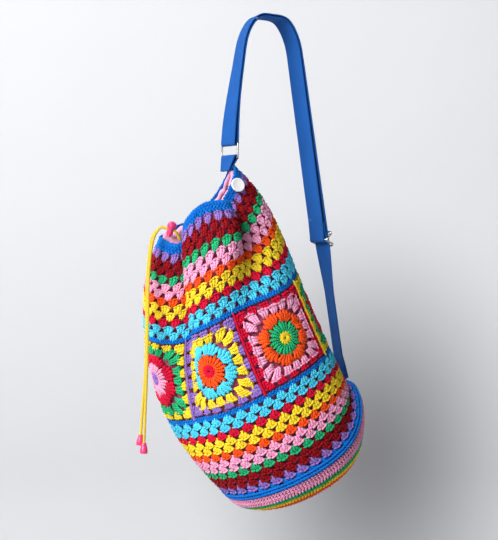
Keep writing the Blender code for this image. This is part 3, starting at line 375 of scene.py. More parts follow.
def finished(name, points, faces, yarn=None, coordinates=None, smooth=True):
    """Mesh object of the points and faces, with texture coordinates for each point if given."""
    mesh = bpy.data.meshes.new(name)
    mesh.from_pydata([tuple(p) for p in points], [], [tuple(f) for f in faces])
    if yarn:
        mesh.materials.append(yarn)
    if coordinates is not None:
        corners = np.empty(len(mesh.loops), int)
        mesh.loops.foreach_get("vertex_index", corners)
        layer = mesh.uv_layers.new(name="UVMap")
        layer.data.foreach_set("uv", np.asarray(coordinates, float)[corners].ravel())
    mesh.polygons.foreach_set("use_smooth", [smooth] * len(mesh.polygons))
    mesh.update()
    return in_scene(name, mesh)


def in_scene(name, data):
    made = bpy.data.objects.new(name, data)
    bpy.context.scene.collection.objects.link(made)
    return made


def smoothed(mesh):
    mesh.polygons.foreach_set("use_smooth", [True] * len(mesh.polygons))


@contextmanager
def reworked(mesh):
    """The mesh opened for editing, and written back at the end."""
    work = bmesh.new()
    work.from_mesh(mesh)
    yield work
    work.to_mesh(mesh)
    work.free()


def applied(made):
    """The piece's modifiers worked into its own mesh."""
    bpy.context.view_layer.update()
    solid = bpy.data.meshes.new_from_object(made.evaluated_get(bpy.context.evaluated_depsgraph_get()))
    made.modifiers.clear()
    made.data = solid
    return solid


def ring_faces(rings, sides, closed=False, flipped=False, capped=False):
    """Faces between rings of points, and over both ends; flipped turns them inside out."""
    faces = []
    for k in range(rings if closed else rings - 1):
        low, high = k * sides, (k + 1) % rings * sides
        for i in range(sides):
            j = (i + 1) % sides
            if flipped:
                faces.append((low + i, high + i, high + j, low + j))
            else:
                faces.append((low + i, low + j, high + j, high + i))
    if capped:
        way = 1 if flipped else -1
        faces.append(tuple(range(sides)[::way]))
        faces.append(tuple(range((rings - 1) * sides, rings * sides)[::-way]))
    return faces


def smooth_path(points, step):
    """Evenly spaced points on a smooth curve through the given ones."""
    knots = np.array(points, float)
    padded = np.vstack([2 * knots[0] - knots[1], knots, 2 * knots[-1] - knots[-2]])
    fine = []
    for k in range(len(knots) - 1):
        a, b, c, d = padded[k:k + 4]
        for t in np.linspace(0.0, 1.0, 12, endpoint=False):
            turn = 2 * b + (c - a) * t + (2 * a - 5 * b + 4 * c - d) * t**2 + (3 * b - a - 3 * c + d) * t**3
            fine.append(turn / 2.0)
    fine.append(knots[-1])
    along = distances(fine)
    return between(np.linspace(0.0, along[-1], max(2, int(round(along[-1] / step)) + 1)), along, fine)


def tube(name, path, radius, yarn, sides=12, closed=False):
    """Round tube along a path, its ends capped unless it is closed."""
    path = np.array(path, float)
    if closed:
        run = np.roll(path, -1, axis=0) - np.roll(path, 1, axis=0)
    else:
        run = np.gradient(path, axis=0)
    run = units(run)
    guide = np.cross(run[0], UP if abs(run[0][2]) < 0.9 else (1.0, 0.0, 0.0))
    rings = []
    for direction in run:
        guide = unit(guide - direction * np.dot(guide, direction))
        rings.append((guide, np.cross(direction, guide)))
    angles = np.arange(sides) * math.tau / sides
    points, coordinates = [], []
    for centre, (x, y), distance in zip(path, rings, distances(path)):
        for angle in angles:
            points.append(centre + radius * (x * math.cos(angle) + y * math.sin(angle)))
            coordinates.append((distance, angle / math.tau))
    faces = ring_faces(len(path), sides, closed, capped=not closed)
    return finished(name, points, faces, yarn, coordinates)


def revolved(name, profile, finish, origin, axes, sides=40):
    """Turned piece from a profile that runs from the top down, in place with the given axes."""
    x, y, z = (np.array(axis, float) for axis in axes)
    points, coordinates = [], []
    for radius, height in profile:
        for k in range(sides):
            angle = k * math.tau / sides
            points.append(origin + x * radius * math.cos(angle) + y * radius * math.sin(angle) + z * height)
            coordinates.append((k / sides, height))
    made = finished(name, points, ring_faces(len(profile), sides, flipped=True), finish, coordinates)
    with reworked(made.data) as work:
        bmesh.ops.remove_doubles(work, verts=work.verts, dist=1e-7)
        bmesh.ops.recalc_face_normals(work, faces=work.faces)
    smoothed(made.data)
    return made


# %% [markdown]
# Every yarn and cord is a twist of plies, which is what makes cotton look like cotton: a fine
# diagonal ridge along the strand, with a soft sheen from the fibres that stand off it. Its grooves
# are painted darker and more saturated as shade, and its crests a little lighter as painted light.
# The material reads the strand's own coordinates for the twist, and a number kept on each stitch for
# how much lighter or darker that stitch is.

# %% Materials
COLOURS = {
    "blue": (0.003, 0.185, 0.640),
    "lilac": (0.315, 0.185, 0.560),
    "dark_red": (0.300, 0.004, 0.010),
    "green": (0.020, 0.460, 0.185),
    "pink": (1.000, 0.405, 0.610),
    "orange": (1.000, 0.100, 0.012),
    "yellow": (0.980, 0.700, 0.035),
    "crimson": (0.700, 0.005, 0.045),
    "turquoise": (0.090, 0.650, 0.860),
    "lining_pink": (0.955, 0.456, 0.638),
    "webbing_blue": (0.014, 0.126, 0.470),
    "cord_yellow": (0.913, 0.672, 0.070),
    "hot_pink": (0.871, 0.045, 0.188),
    "nickel": (0.640, 0.625, 0.600),
    "white": (0.930, 0.930, 0.910),
}


def add(tree, kind, inputs=None, **settings):
    """One node with its settings, and its inputs as values or as other nodes' sockets."""
    made = tree.nodes.new(kind)
    for key, value in settings.items():
        setattr(made, key, value)
    for key, value in (inputs or {}).items():
        if isinstance(value, bpy.types.NodeSocket):
            tree.links.new(value, made.inputs[key])
        else:
            made.inputs[key].default_value = value
    return made


def sum_of(tree, a, b, c=0.0, operation="MULTIPLY_ADD"):
    """a times b plus c, or another operation on the three."""
    return add(tree, "ShaderNodeMath", {0: a, 1: b, 2: c}, operation=operation).outputs[0]


def shader_for(name, **uniform):
    """New material with uniform values set straight on its shader: the material, tree and shader."""
    made = bpy.data.materials.new(name)
    made.use_nodes = True
    shader = made.node_tree.nodes["Principled BSDF"]
    for key, value in uniform.items():
        shader.inputs[key.replace("_", " ")].default_value = value
    return made, made.node_tree, shader


def mixed(tree, share, low, high):
    """Colour between two colours or sockets."""
    ends = [
        end if isinstance(end, bpy.types.NodeSocket) else (*np.minimum(end, 1.0), 1.0) for end in (low, high)
    ]
    return add(tree, "ShaderNodeMix", {0: share, 6: ends[0], 7: ends[1]}, data_type="RGBA").outputs[2]


def wave(tree, value, rate, start=0.0):
    """Sine of a value times a rate, plus a start."""
    return sum_of(tree, sum_of(tree, value, rate, start), 0.0, operation="SINE")


def texture_place(tree):
    """The texture coordinates across and along."""
    place = add(tree, "ShaderNodeSeparateXYZ", {0: add(tree, "ShaderNodeUVMap", uv_map="UVMap").outputs[0]})
    return place.outputs[0], place.outputs[1]


def tint(tree, shader, colour, value):
    """The colour, its brightness times the value, given to the shader."""
    final = add(tree, "ShaderNodeHueSaturation", {"Color": colour, "Value": value})
    tree.links.new(final.outputs[0], shader.inputs["Base Color"])


def noise(tree, scale, detail=2.0):
    """Soft noise over the piece, from 0 to 1."""
    place = add(tree, "ShaderNodeTexCoord").outputs["Object"]
    return add(tree, "ShaderNodeTexNoise", {"Vector": place, "Scale": scale, "Detail": detail}).outputs[0]


def bumped(tree, shader, height, distance, strength=0.6):
    """A bump for what is too fine to be a mesh."""
    bump = add(tree, "ShaderNodeBump", {"Height": height, "Strength": strength, "Distance": distance})
    tree.links.new(bump.outputs[0], shader.inputs["Normal"])


def yarn_material(colour, across=2.0, along=7.0, name=None):
    """Cotton yarn of a colour, made once; its plies cross and climb the strand so often."""
    name = name or f"yarn_{colour}"
    if name in bpy.data.materials:
        return bpy.data.materials[name]
    made, tree, shader = shader_for(name, **{
        "Roughness": 0.62, "Sheen Weight": 0.01, "Sheen Roughness": 0.40, "Specular IOR Level": 0.11,
    })
    base = np.array(COLOURS[colour])
    round_way, up_way = texture_place(tree)
    plies = wave(tree, round_way, across * math.tau, sum_of(tree, up_way, along * math.tau))
    # Painted shade and light: the grooves between the plies are coloured darker and more saturated, the
    # crests a little lighter, by the same twist as the bump.
    share = add(tree, "ShaderNodeMapRange", {0: plies, 1: -1.0, 2: -0.2}).outputs[0]
    shade = add(tree, "ShaderNodeAttribute", attribute_name="shade").outputs["Fac"]
    value = sum_of(tree, shade, 0.12, sum_of(tree, noise(tree, 28.0), 0.16, 0.96))
    tint(tree, shader, mixed(tree, share, base**1.22 * 0.76, base * 1.10 + 0.002), value)
    bumped(tree, shader, sum_of(tree, noise(tree, 1400.0, 3.0), 0.5, plies), 0.0003)
    return made


def cloth_material(name, colour, painted_shade_to):
    """Fine plain weave of a colour, for the cotton lining, painted darker up to a length of it as shade."""
    made, tree, shader = shader_for(name, **{
        "Roughness": 0.75, "Sheen Weight": 0.25, "Sheen Roughness": 0.5, "Specular IOR Level": 0.25,
    })
    base = np.array(COLOURS[colour])
    across, along = texture_place(tree)
    weave = sum_of(tree, *(wave(tree, way, math.pi / LINING_THREAD) for way in (across, along)))
    share = sum_of(tree, noise(tree, 60.0), 0.8, sum_of(tree, weave, 0.12, 0.1))
    toned = mixed(tree, share, base**1.15 * 0.86, base * 1.03 + 0.01)
    # Painted shade: below that length, where the lining lies behind the crochet, its colour is darkened to a
    # deep maroon for the shade seen through the holes.
    pale = add(tree, "ShaderNodeMapRange", {0: along, 1: painted_shade_to - 0.02, 2: painted_shade_to}).outputs[0]
    tree.links.new(mixed(tree, pale, base * (0.55, 0.20, 0.30), toned), shader.inputs["Base Color"])
    bumped(tree, shader, weave, 0.0001, 0.4)
    return made


def webbing_material():
    """Tight cotton webbing: steep twill ribs that meet in a chevron, and firm smooth edges."""
    made, tree, shader = shader_for("webbing", **{
        "Roughness": 0.72, "Sheen Weight": 0.01, "Sheen Roughness": 0.4, "Specular IOR Level": 0.09,
    })
    base = np.array(COLOURS["webbing_blue"])
    across, along = texture_place(tree)
    chevron = sum_of(tree, sum_of(tree, across, 0.0075, operation="PINGPONG"), math.tau / 0.0013)
    ribs = wave(tree, along, math.tau / 0.0019, chevron)
    height = sum_of(tree, wave(tree, across, math.tau / 0.0009), 0.35, ribs)
    # Painted shade and light: the grooves between the ribs are coloured much darker and the rib tops lighter,
    # by the same height as the bump.
    share = add(tree, "ShaderNodeMapRange", {0: height, 1: -1.1, 2: 0.6}).outputs[0]
    worn = sum_of(tree, noise(tree, 45.0, 4.0), 0.30, 0.84)
    tint(tree, shader, mixed(tree, share, base**1.2 * 0.42, base * 1.22), worn)
    bumped(tree, shader, height, 0.0004)
    return made


def metal_material():
    """Bright nickel plate with a little haze and fine handling marks."""
    made, tree, shader = shader_for("nickel_plate", **{"Metallic": 1.0})
    base = np.array(COLOURS["nickel"])
    haze = noise(tree, 320.0, 4.0)
    tree.links.new(mixed(tree, haze, base * 0.86, base * 1.12), shader.inputs["Base Color"])
    tree.links.new(sum_of(tree, haze, 0.16, 0.14), shader.inputs["Roughness"])
    bumped(tree, shader, noise(tree, 900.0, 2.0), 0.00002, 0.3)
    return made


def plastic_material(name, colour, gloss=0.22):
    """Moulded plastic with a faint orange-peel surface."""
    made, tree, shader = shader_for(name, **{
        "Specular IOR Level": 0.5, "Coat Weight": 0.25, "Coat Roughness": 0.12,
    })
    base = np.array(COLOURS[colour])
    tree.links.new(mixed(tree, noise(tree, 90.0), base * 0.90, base * 1.05), shader.inputs["Base Color"])
    tree.links.new(sum_of(tree, noise(tree, 500.0, 3.0), 0.12, gloss), shader.inputs["Roughness"])
    bumped(tree, shader, noise(tree, 260.0), 0.00006, 0.25)
    return made


# %% [markdown]
# The finishes that aren't stitches are made here; each colour of yarn is made when a stitch first
# asks for it.

# %% Finishes
LINING_THREAD = 0.0006
# The lining carries painted shade from the middle of the base to just below the border.
LINING_CLOTH = cloth_material("lining_cotton", "lining_pink", BORDER_LOW + BASE_REACH - 0.012)
WEBBING = webbing_material()
NICKEL = metal_material()
PINK_PLASTIC = plastic_material("pink_plastic", "hot_pink")
BUTTON_FINISH = plastic_material("button_shell", "white", 0.30)
CORD_YARN = yarn_material("cord_yellow", across=4.0, along=420.0, name="cord_cotton")
print(len(bpy.data.materials), "materials")

# %% [markdown]
# The drawstring leaves the gathered hem at the left, passes through the toggle and hangs down beside
# the bag. It is limp: a quick turn over the toggle, then straight down with a slight bow. Its two
# ends are knotted into pink bells. The route repeats the CAD's points, so it stays in the CAD's
# solids, and each strand is a tube whose braid comes from its material.

# %% Cords
CORD_RADIUS = 0.0017
CORD_PLAY = 0.0003
LOCK_TURN = 0.552
LOCK_STANDOFF = 0.0115
LOCK_RISE = 0.0120
LOCK_SLIDE = 0.0040
LOCK_NECK = 0.0042
LOCK_RADIUS = 0.0060
END_LENGTH = 0.0130
END_RADIUS = 0.0048
END_NECK = 0.0030
END_BORE = 0.0050
END_BEVEL = 0.0004
CORD_HANG = (
    (-0.0204, -0.0072), (-0.0250, -0.0290), (-0.0278, -0.0653), (-0.0287, -0.1210), (-0.0297, -0.1682),
)
BACK_END = (-0.0369, -0.2530, 0.0055)
FRONT_END = (-0.0321, -0.2620, -0.0055)
LOCK_DOWN = np.array((-0.30, 0.0, -0.95)) / math.hypot(0.30, 0.95)
LOCK_ALONG = np.array([LOCK_DOWN[2], 0.0, -LOCK_DOWN[0]])
LOCK_ORIGIN = cloth([LOCK_TURN], WALL_TOP + HEM_RISE * 0.3, -HEM_TUCK / 2.0)[0]
LOCK_ORIGIN = LOCK_ORIGIN + np.array([0.0, -LOCK_STANDOFF, LOCK_RISE])


def hem_rise(turns):
    """How far the hem stands over the border: under it but for the end that the cord leaves."""
    away = (np.asarray(turns) - HEM_RISE_TURN) / HEM_RISE_WIDTH
    return (HEM_RISE + HEM_SINK) * np.exp(-away**2) - HEM_SINK


def strand(name, side, end):
    """One end of the drawstring, from the hem through the lock and down, with its bell."""
    offset = np.array([0.0, side * (CORD_RADIUS + CORD_PLAY / 2.0), 0.0])
    turn = LOCK_TURN - HEM_EXIT + side * HEM_EXIT_STEP
    hem = WALL_TOP + hem_rise(turn) / 2.0
    out = unit(sample(GRID_OUT, [turn], [hem])[0])
    start = cloth([turn], hem, -HEM_TUCK / 2.0)[0] + out * EYELET_GAP
    enter = LOCK_ORIGIN + offset - LOCK_ALONG * (LOCK_NECK + CORD_RADIUS)
    leave = LOCK_ORIGIN + offset + LOCK_ALONG * (LOCK_RADIUS + LOCK_SLIDE + CORD_RADIUS / 2.0)
    spread = np.array([-side * CORD_RADIUS * 0.6, side * CORD_RADIUS * 0.3, 0.0])
    hang = [LOCK_ORIGIN + offset + spread + np.array([x, 0.0, z]) for x, z in CORD_HANG]
    last = LOCK_ORIGIN + np.array([end[0], end[2], end[1]])
    lead = smooth_path([start, start + out * CORD_RADIUS * 3.0, enter, LOCK_ORIGIN + offset], CORD_RADIUS)
    bend = smooth_path([LOCK_ORIGIN + offset, leave, *hang, last], CORD_RADIUS * 2.0)
    path = np.array([
        *(point for point in lead if point[0] > enter[0] + CORD_RADIUS / 2.0), enter,
        leave, *(point for point in bend if point[0] < leave[0] - CORD_RADIUS),
    ])
    cord = tube(name, path, CORD_RADIUS, CORD_YARN, 14)

    bore = CORD_RADIUS + CORD_PLAY * 0.4
    neck = END_LENGTH * 0.13
    slim = END_NECK * 1.05
    profile = [
        (bore, -END_BORE), (bore, -END_BEVEL), (bore + END_BEVEL, 0.0), (END_NECK - 0.0003, 0.0),
        (END_NECK, -END_BEVEL), (END_NECK * 0.94, -neck), (END_NECK * 1.02, -neck * 1.25),
    ]
    for share in np.linspace(0.15, 0.88, 10):
        swell = slim + (END_RADIUS - slim) * math.sin((share - 0.15) / 0.73 * math.pi / 2.0)
        profile.append((swell, -END_LENGTH * share))
    profile += [
        (END_RADIUS * 0.97, -END_LENGTH * 0.94), (END_RADIUS * 0.86, -END_LENGTH * 0.985),
        (END_RADIUS * 0.70, -END_LENGTH), (0.0, -END_LENGTH * 0.99),
    ]
    down = unit(path[-1] - path[-3])
    side_way = unit(np.cross((0.0, 1.0, 0.0), -down))
    origin = path[-1] - down * (END_BORE - CORD_PLAY)
    axes = (side_way, np.cross(-down, side_way), -down)
    bell = revolved(name.replace("strand", "bell"), profile, PINK_PLASTIC, origin, axes)
    for piece, slot in ((cord, "cord_yellow"), (bell, "hot_pink")):
        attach(piece, "bag")
    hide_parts(name)
    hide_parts(name.replace("strand", "end"))


strand("cord_strand_front", -1.0, FRONT_END)
strand("cord_strand_back", 1.0, BACK_END)

# %% [markdown]
# One stitch is the whole alphabet of this bag. A double crochet is a post of two strands wound round
# each other, narrow where the hook pulled it through the row below and full at its head. It is a
# column whose two-lobed section turns as it rises, which gives the slanting bars seen on every
# cluster with only a few dozen faces. A close stitch is a shorter, squatter turn of the same thing.

# %% Stitches on the flat
def stitch(name, widths, sides, turns, lobe, bow):
    """Stitch one unit high and about one wide: widths up its height, its section turning as it rises."""
    angles = np.arange(sides) * math.tau / sides
    points, coordinates = [], []
    for k, width in enumerate(widths):
        t = k / (len(widths) - 1)
        section = width * (1.0 + lobe * np.cos(2.0 * angles - turns * math.tau * t)) / (2.0 + 2.0 * lobe)
        rise = bow * math.sin(math.pi * min(t * 1.15, 1.0))
        points += [(r * math.cos(a), t, r * math.sin(a) + rise) for r, a in zip(section, angles)]
        coordinates += [(a / math.tau - turns * t / 2.0, t) for a in angles]
    faces = ring_faces(len(widths), sides, flipped=True, capped=True)
    made = finished(name, points, faces, coordinates=coordinates)
    made.hide_render = True
    made.hide_viewport = True
    return made


POST = stitch("post_stitch", (0.70, 0.84, 0.92, 0.97, 1.0, 0.98, 0.62), 7, 1.5, 0.36, 0.22)
CLOSE = stitch("close_stitch", (0.45, 0.90, 1.0, 0.90, 0.45), 6, 0.5, 0.30, 0.15)
print("faces in a post", len(POST.data.polygons), "and in a close stitch", len(CLOSE.data.polygons))

# %% [markdown]
# Laying stitches is a job for Geometry Nodes. The points carry each stitch's place, turn and size;
# the tree sets a stitch on each, sways and resizes it a little as a hand does, and keeps a random
# number on it for its shade. The result is made a plain mesh and then carried from the flat to the
# bag, so stitches lean, crowd and open exactly as the cloth does.

# %% Laying stitches
SWAY = 0.06
UNEVENNESS = 0.05


def laying_tree():
    tree = bpy.data.node_groups.new("laying stitches", "GeometryNodeTree")
    for name, kind in (("Geometry", "Geometry"), ("Stitch", "Object"), ("Yarn", "Material"), ("Seed", "Int")):
        tree.interface.new_socket(name, in_out="INPUT", socket_type=f"NodeSocket{kind}")
    tree.interface.new_socket("Geometry", in_out="OUTPUT", socket_type="NodeSocketGeometry")
    given = add(tree, "NodeGroupInput").outputs
    stitch_shape = add(tree, "GeometryNodeObjectInfo", {"Object": given["Stitch"]}).outputs["Geometry"]
    turn = add(tree, "GeometryNodeInputNamedAttribute", {"Name": "turn"}, data_type="FLOAT").outputs[0]
    size = add(tree, "GeometryNodeInputNamedAttribute", {"Name": "size"}, data_type="FLOAT_VECTOR").outputs[0]

    def chance(low, high, seed):
        return add(tree, "FunctionNodeRandomValue", {2: low, 3: high, 8: seed}).outputs[1]

    sway = chance(-SWAY, SWAY, given["Seed"])
    change = chance(1.0 - UNEVENNESS, 1.0 + UNEVENNESS, sum_of(tree, given["Seed"], 1.0, 100.0))
    tip = sum_of(tree, sway, 2.5)
    turned = add(tree, "ShaderNodeCombineXYZ", {1: tip, 2: sum_of(tree, turn, 1.0, sway)}).outputs[0]
    scale = add(tree, "ShaderNodeVectorMath", {0: size, "Scale": change}, operation="SCALE").outputs[0]
    laid = add(tree, "GeometryNodeInstanceOnPoints", {
        "Points": given["Geometry"], "Instance": stitch_shape, "Rotation": turned, "Scale": scale,
    }).outputs[0]
    kept = add(tree, "GeometryNodeStoreNamedAttribute", {
        "Geometry": laid, "Name": "shade", 3: chance(-1.0, 1.0, given["Seed"]),
    }, data_type="FLOAT", domain="INSTANCE").outputs[0]
    real = add(tree, "GeometryNodeRealizeInstances", {0: kept}).outputs[0]
    dyed = add(tree, "GeometryNodeSetMaterial", {"Geometry": real, "Material": given["Yarn"]}).outputs[0]
    tree.links.new(dyed, add(tree, "NodeGroupOutput").inputs[0])
    return tree


LAYING = laying_tree()


def spot(foot, top, width, depth, lift):
    """A stitch from foot to top on the flat: its place, turn, width, height and depth."""
    run = np.subtract(top, foot)
    return (*foot, lift, math.atan2(-run[0], run[1]), width, float(np.hypot(*run)), depth)


def lay(name, spots, shape, colour, nodes, seed):
    """Stitches at the spots, as a plain mesh laid over the bag, riding on it in place of CAD nodes."""
    spots = np.array(spots)
    mesh = bpy.data.meshes.new(name)
    mesh.from_pydata([tuple(p) for p in spots[:, :3]], [], [])
    mesh.attributes.new("turn", "FLOAT", "POINT").data.foreach_set("value", spots[:, 3])
    mesh.attributes.new("size", "FLOAT_VECTOR", "POINT").data.foreach_set("vector", spots[:, 4:7].ravel())
    points = in_scene(f"{name}_points", mesh)
    step = points.modifiers.new("laying", "NODES")
    step.node_group = LAYING
    given = {"Stitch": shape, "Yarn": yarn_material(colour), "Seed": seed}
    for item in LAYING.interface.items_tree:
        if item.in_out == "INPUT" and item.name in given:
            step[item.identifier] = given[item.name]
    evaluated = points.evaluated_get(bpy.context.evaluated_depsgraph_get())
    laid = bpy.data.meshes.new_from_object(evaluated)
    bpy.data.objects.remove(points, do_unlink=True)
    places = np.empty(len(laid.vertices) * 3)
    laid.vertices.foreach_get("co", places)
    places = places.reshape(-1, 3)
    draped = cloth(places[:, 0] / GIRTH, places[:, 1], places[:, 2])
    laid.vertices.foreach_set("co", draped.ravel())
    laid.flip_normals()
    smoothed(laid)
    laid.update()
    laid.name = name
    made = in_scene(name, laid)
    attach(made, "bag")
    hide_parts(*nodes)


# %% [markdown]
# Granny stripes are rows of clusters: three double crochets worked into one gap, so they share a
# foot and fan out at the head, and the next row's clusters stand in the gaps between them. The upper
# band is worked up from the squares and the lower band down from them, so their fans point away from
# the squares.

# %% Striped bands
POST_WIDTH = 0.0063
POST_DEPTH = 0.0046
POST_LIFT = 0.0008
FOOT_SPREAD = 0.0026
HEAD_SPREAD = 0.0048
FOOT_UNDER = 0.30
FOOT_DOME = 0.45
HEAD_OVER = 0.10
HEAD_DOME = 0.11
MIDDLE_PROUD = 0.0003
LOOP_REACH = 0.60
LOOP_SLANT = 0.0005
LOOP_DEPTH = 0.0034
LOOP_LIFT = POST_LIFT + 0.0018


def cluster(x, y, height, way=1.0):
    """Three posts that fan out from a shared foot; way is -1 where they were worked downwards."""
    made = []
    for share in (-1.0, 0.0, 1.0):
        start = (x + share * FOOT_SPREAD, y - way * height * FOOT_UNDER * (1.0 - FOOT_DOME * abs(share)))
        end = (x + share * HEAD_SPREAD, y + way * height * (1.0 + HEAD_OVER) * (1.0 - HEAD_DOME * abs(share)))
        made.append(spot(start, end, POST_WIDTH, POST_DEPTH, POST_LIFT + MIDDLE_PROUD * (1.0 - abs(share))))
    return made


def heads(x, y, height, way):
    """The chain that closes the heads of a cluster: one slanting loop over each post."""
    made = []
    for share in (-1.0, 0.0, 1.0):
        top = y + way * height * (1.0 + HEAD_OVER - 0.10 - 0.15 * abs(share))
        droop = way * height * 0.10 * share
        left = (x + (share - LOOP_REACH) * HEAD_SPREAD, top - way * LOOP_SLANT + droop)
        right = (x + (share + LOOP_REACH) * HEAD_SPREAD, top + way * LOOP_SLANT - droop)
        made.append(spot(left, right, 0.0036, LOOP_DEPTH, LOOP_LIFT))
    return made


def band(prefix, low, row_height, stripes, way, seed):
    """Twelve rows of clusters in eight stripes, from low upwards, each row half a pitch over."""
    row = 0
    for colour, rows in stripes:
        spots, loops = [], []
        for k in range(rows):
            bottom = low + (row + k) * row_height
            start = bottom if way > 0.0 else bottom + row_height
            for i in range(CLUSTERS_ROUND):
                x = SEAM_TURN * GIRTH + (i + 0.5 * ((row + k + (way < 0.0)) % 2)) * PITCH
                spots += cluster(x, start, row_height, way)
                loops += heads(x, start, row_height, way)
        node = f"{prefix}_{colour}"
        lay(f"{node}_clusters", spots, POST, colour, [node], seed + row)
        lay(f"{node}_heads", loops, CLOSE, colour, [node], seed + row + 15)
        row += rows
    print(prefix, "band", row, "rows")


band("lower", BAND_LOW, LOWER_ROW, STRIPES, -1.0, 10)
band("upper", BAND_TOP, UPPER_ROW, STRIPES[::-1], 1.0, 40)

# %% [markdown]
# The plain rounds are close stitches, each leaning the way the yarn was pulled: two in the thin line
# above and below the squares, three and a chain edge in the border of the mouth, and three with
# proud ridges in the rim of the base.

# %% Lines, border and rim
STITCHES_ROUND = 144
KNOTS_ROUND = 108
LINE_OVER = 0.0006


def close_round(s, height, lean, count=STITCHES_ROUND, width=1.18, depth=0.0034, lift=0.0013, offset=0.0):
    """A round of close stitches with its middle at s, leaning by lean stitches."""
    step = GIRTH / count
    made = []
    for i in range(count):
        x = (i + offset) * step
        foot = (x - lean * step / 2.0, s - height / 2.0)
        made.append(spot(foot, (x + lean * step / 2.0, s + height / 2.0), step * width, depth, lift))
    return made


def rounds(low, high, count, lean, **how):
    """Close rounds between two heights, leaning to and fro as they were worked."""
    height = (high - low) / count
    made = []
    for k in range(count):
        middle, slant = low + (k + 0.5) * height, lean * (-1.0) ** k
        made += close_round(middle, height * 1.35, slant, offset=0.5 * k, **how)
    return made


for name, low in (("lower_line", LINE_LOW), ("upper_line", SQUARES_TOP)):
    line = rounds(low - LINE_OVER, low + LINE_HEIGHT + LINE_OVER, 2, 0.9, depth=0.0036)
    lay(f"{name}_stitches", line, CLOSE, "blue", [name], 70)
border = []
knot = (WALL_TOP - 0.0012 - BORDER_LOW) / 3.0
for k in range(3):
    middle, slant = BORDER_LOW + (k + 0.5) * knot, 1.1 * (-1.0) ** k
    border += close_round(middle, knot * 1.15, slant, KNOTS_ROUND, 0.90, 0.0052, 0.0010, 0.5 * k)
border += close_round(WALL_TOP - 0.0010, 0.0044, 1.5, KNOTS_ROUND, 0.88, 0.0048, 0.0016)
lay("border_stitches", border, CLOSE, "blue", ["top_border"], 72)
rim = []
for i in range(CLUSTERS_ROUND):
    rim += cluster(SEAM_TURN * GIRTH + i * PITCH, RIM_HEIGHT, 0.0072, -1.0)
rim += rounds(0.0, RIM_HEIGHT * 0.55, 2, 0.5, depth=0.0044, lift=0.0014)
for share, depth, lift in ((0.28, 0.0040, 0.0034), (0.62, 0.0036, 0.0030)):
    rim += close_round(RIM_HEIGHT * share, 0.0030, 1.8, width=0.8, depth=depth, lift=lift)
lay("rim_stitches", rim, CLOSE, "blue", ["base_rim"], 73)
print("stitches in the border", len(border), "and in the rim", len(rim))

# %% [markdown]
# The base is worked in rounds from the middle out, with fewer stitches the nearer they are to it, so
# that all of them stay the same size.

# %% Base
def shrink(s):
    """Share of the girth that a round of the base keeps."""
    return math.cos(min(-s / BASE_REACH, 1.0) * math.pi / 2.0)


def base_rounds(name, colour, start, end, count, seed):
    """Close rounds of one colour on the base, from one place on the cloth to another."""
    height = (end - start) / count
    spots = []
    for k in range(count):
        s = start + (k + 0.5) * height
        number = max(8, int(round(STITCHES_ROUND * shrink(s))))
        spots += close_round(s, abs(height) * 1.12, 0.7 * (-1.0) ** k, number, 0.98, 0.0050, 0.0010, 0.5 * k)
    lay(f"{name}_stitches", spots, CLOSE, colour, [name], seed)


reach = 0.0
for number, (colour, width, count) in enumerate(BASE_ROUNDS):
    base_rounds(f"base_{colour}", colour, reach, reach - width, count, 80 + number)
    reach -= width
base_rounds("base_centre", "turquoise", reach, -BASE_REACH * 0.985, 9, 85)
print("base rounds reach", round(reach, 3))

# %% [markdown]
# A granny square grows from a ring: twelve stitches, then twenty-four, then eight groups of five with
# a small hole between them, then clusters that turn the circle into a square, and last the frame,
# with six clusters along each side. Neighbouring squares are joined by a raised cord of slip
# stitches in the frame's colour.

# %% Granny squares
HALF = SQUARE_SIDE / 2.0
DISC_RADIUS = 0.205 * SQUARE_SIDE
CENTRE_RADIUS = 0.0092
PETAL_RADIUS = 0.0375
GROUPS = 8
SQUARING_TOP = 0.0466
SQUARING_SPREAD = 0.0048
SQUARING_WIDTH = 0.0058
EDGING_FOOT = HALF - 0.0122
EDGING_TOP = HALF - 0.0008
CORD_STITCHES = 30
CORD_SLANT = 0.0011


def in_polar(origin, radius, angle):
    return (origin[0] + radius * math.cos(angle), origin[1] + radius * math.sin(angle))


def on_side(origin, side, x, y):
    """Point on one side of a square: x along the side and y out of the square's middle."""
    turn = side * math.pi / 2.0
    return (origin[0] + x * math.cos(turn) - y * math.sin(turn),
            origin[1] + x * math.sin(turn) + y * math.cos(turn))


def ring_of_posts(origin, count, inner, outer, width, lift, point=0.0):
    """Posts round a middle; every third one reaches further by point."""
    made = []
    for k in range(count):
        angle = k * math.tau / count
        reach = outer + (point if k % 3 == 0 else 0.0)
        foot, head = in_polar(origin, inner, angle), in_polar(origin, reach, angle + 0.02)
        made.append(spot(foot, head, width, POST_DEPTH * 0.9, lift))
    return made


def petals(origin):
    """Eight groups of five posts, their feet drawn together so that holes open between groups."""
    made = []
    for group in range(GROUPS):
        middle = (group + 0.5) * math.tau / GROUPS
        for k in range(5):
            share = (k - 2) / 2.0
            foot = in_polar(origin, DISC_RADIUS - 0.0006, middle + share * 0.20)
            head = in_polar(origin, PETAL_RADIUS - 0.0036 * share**2, middle + share * 0.33)
            made.append(spot(foot, head, 0.0066, POST_DEPTH * 1.05, 0.0012))
    return made


def side_cluster(origin, side, across, foot_at, head_at, foot_draw, head_spread, width, lean=0.0):
    """A cluster on one side of a square: across along the side, from foot_at out to head_at."""
    made = []
    for k in (-1, 0, 1):
        foot = on_side(origin, side, across * foot_draw + k * FOOT_SPREAD, foot_at)
        head = on_side(origin, side, across + k * head_spread + lean, head_at - 0.0005 * abs(k))
        made.append(spot(foot, head, width, POST_DEPTH, POST_LIFT + MIDDLE_PROUD * (1 - abs(k))))
    return made


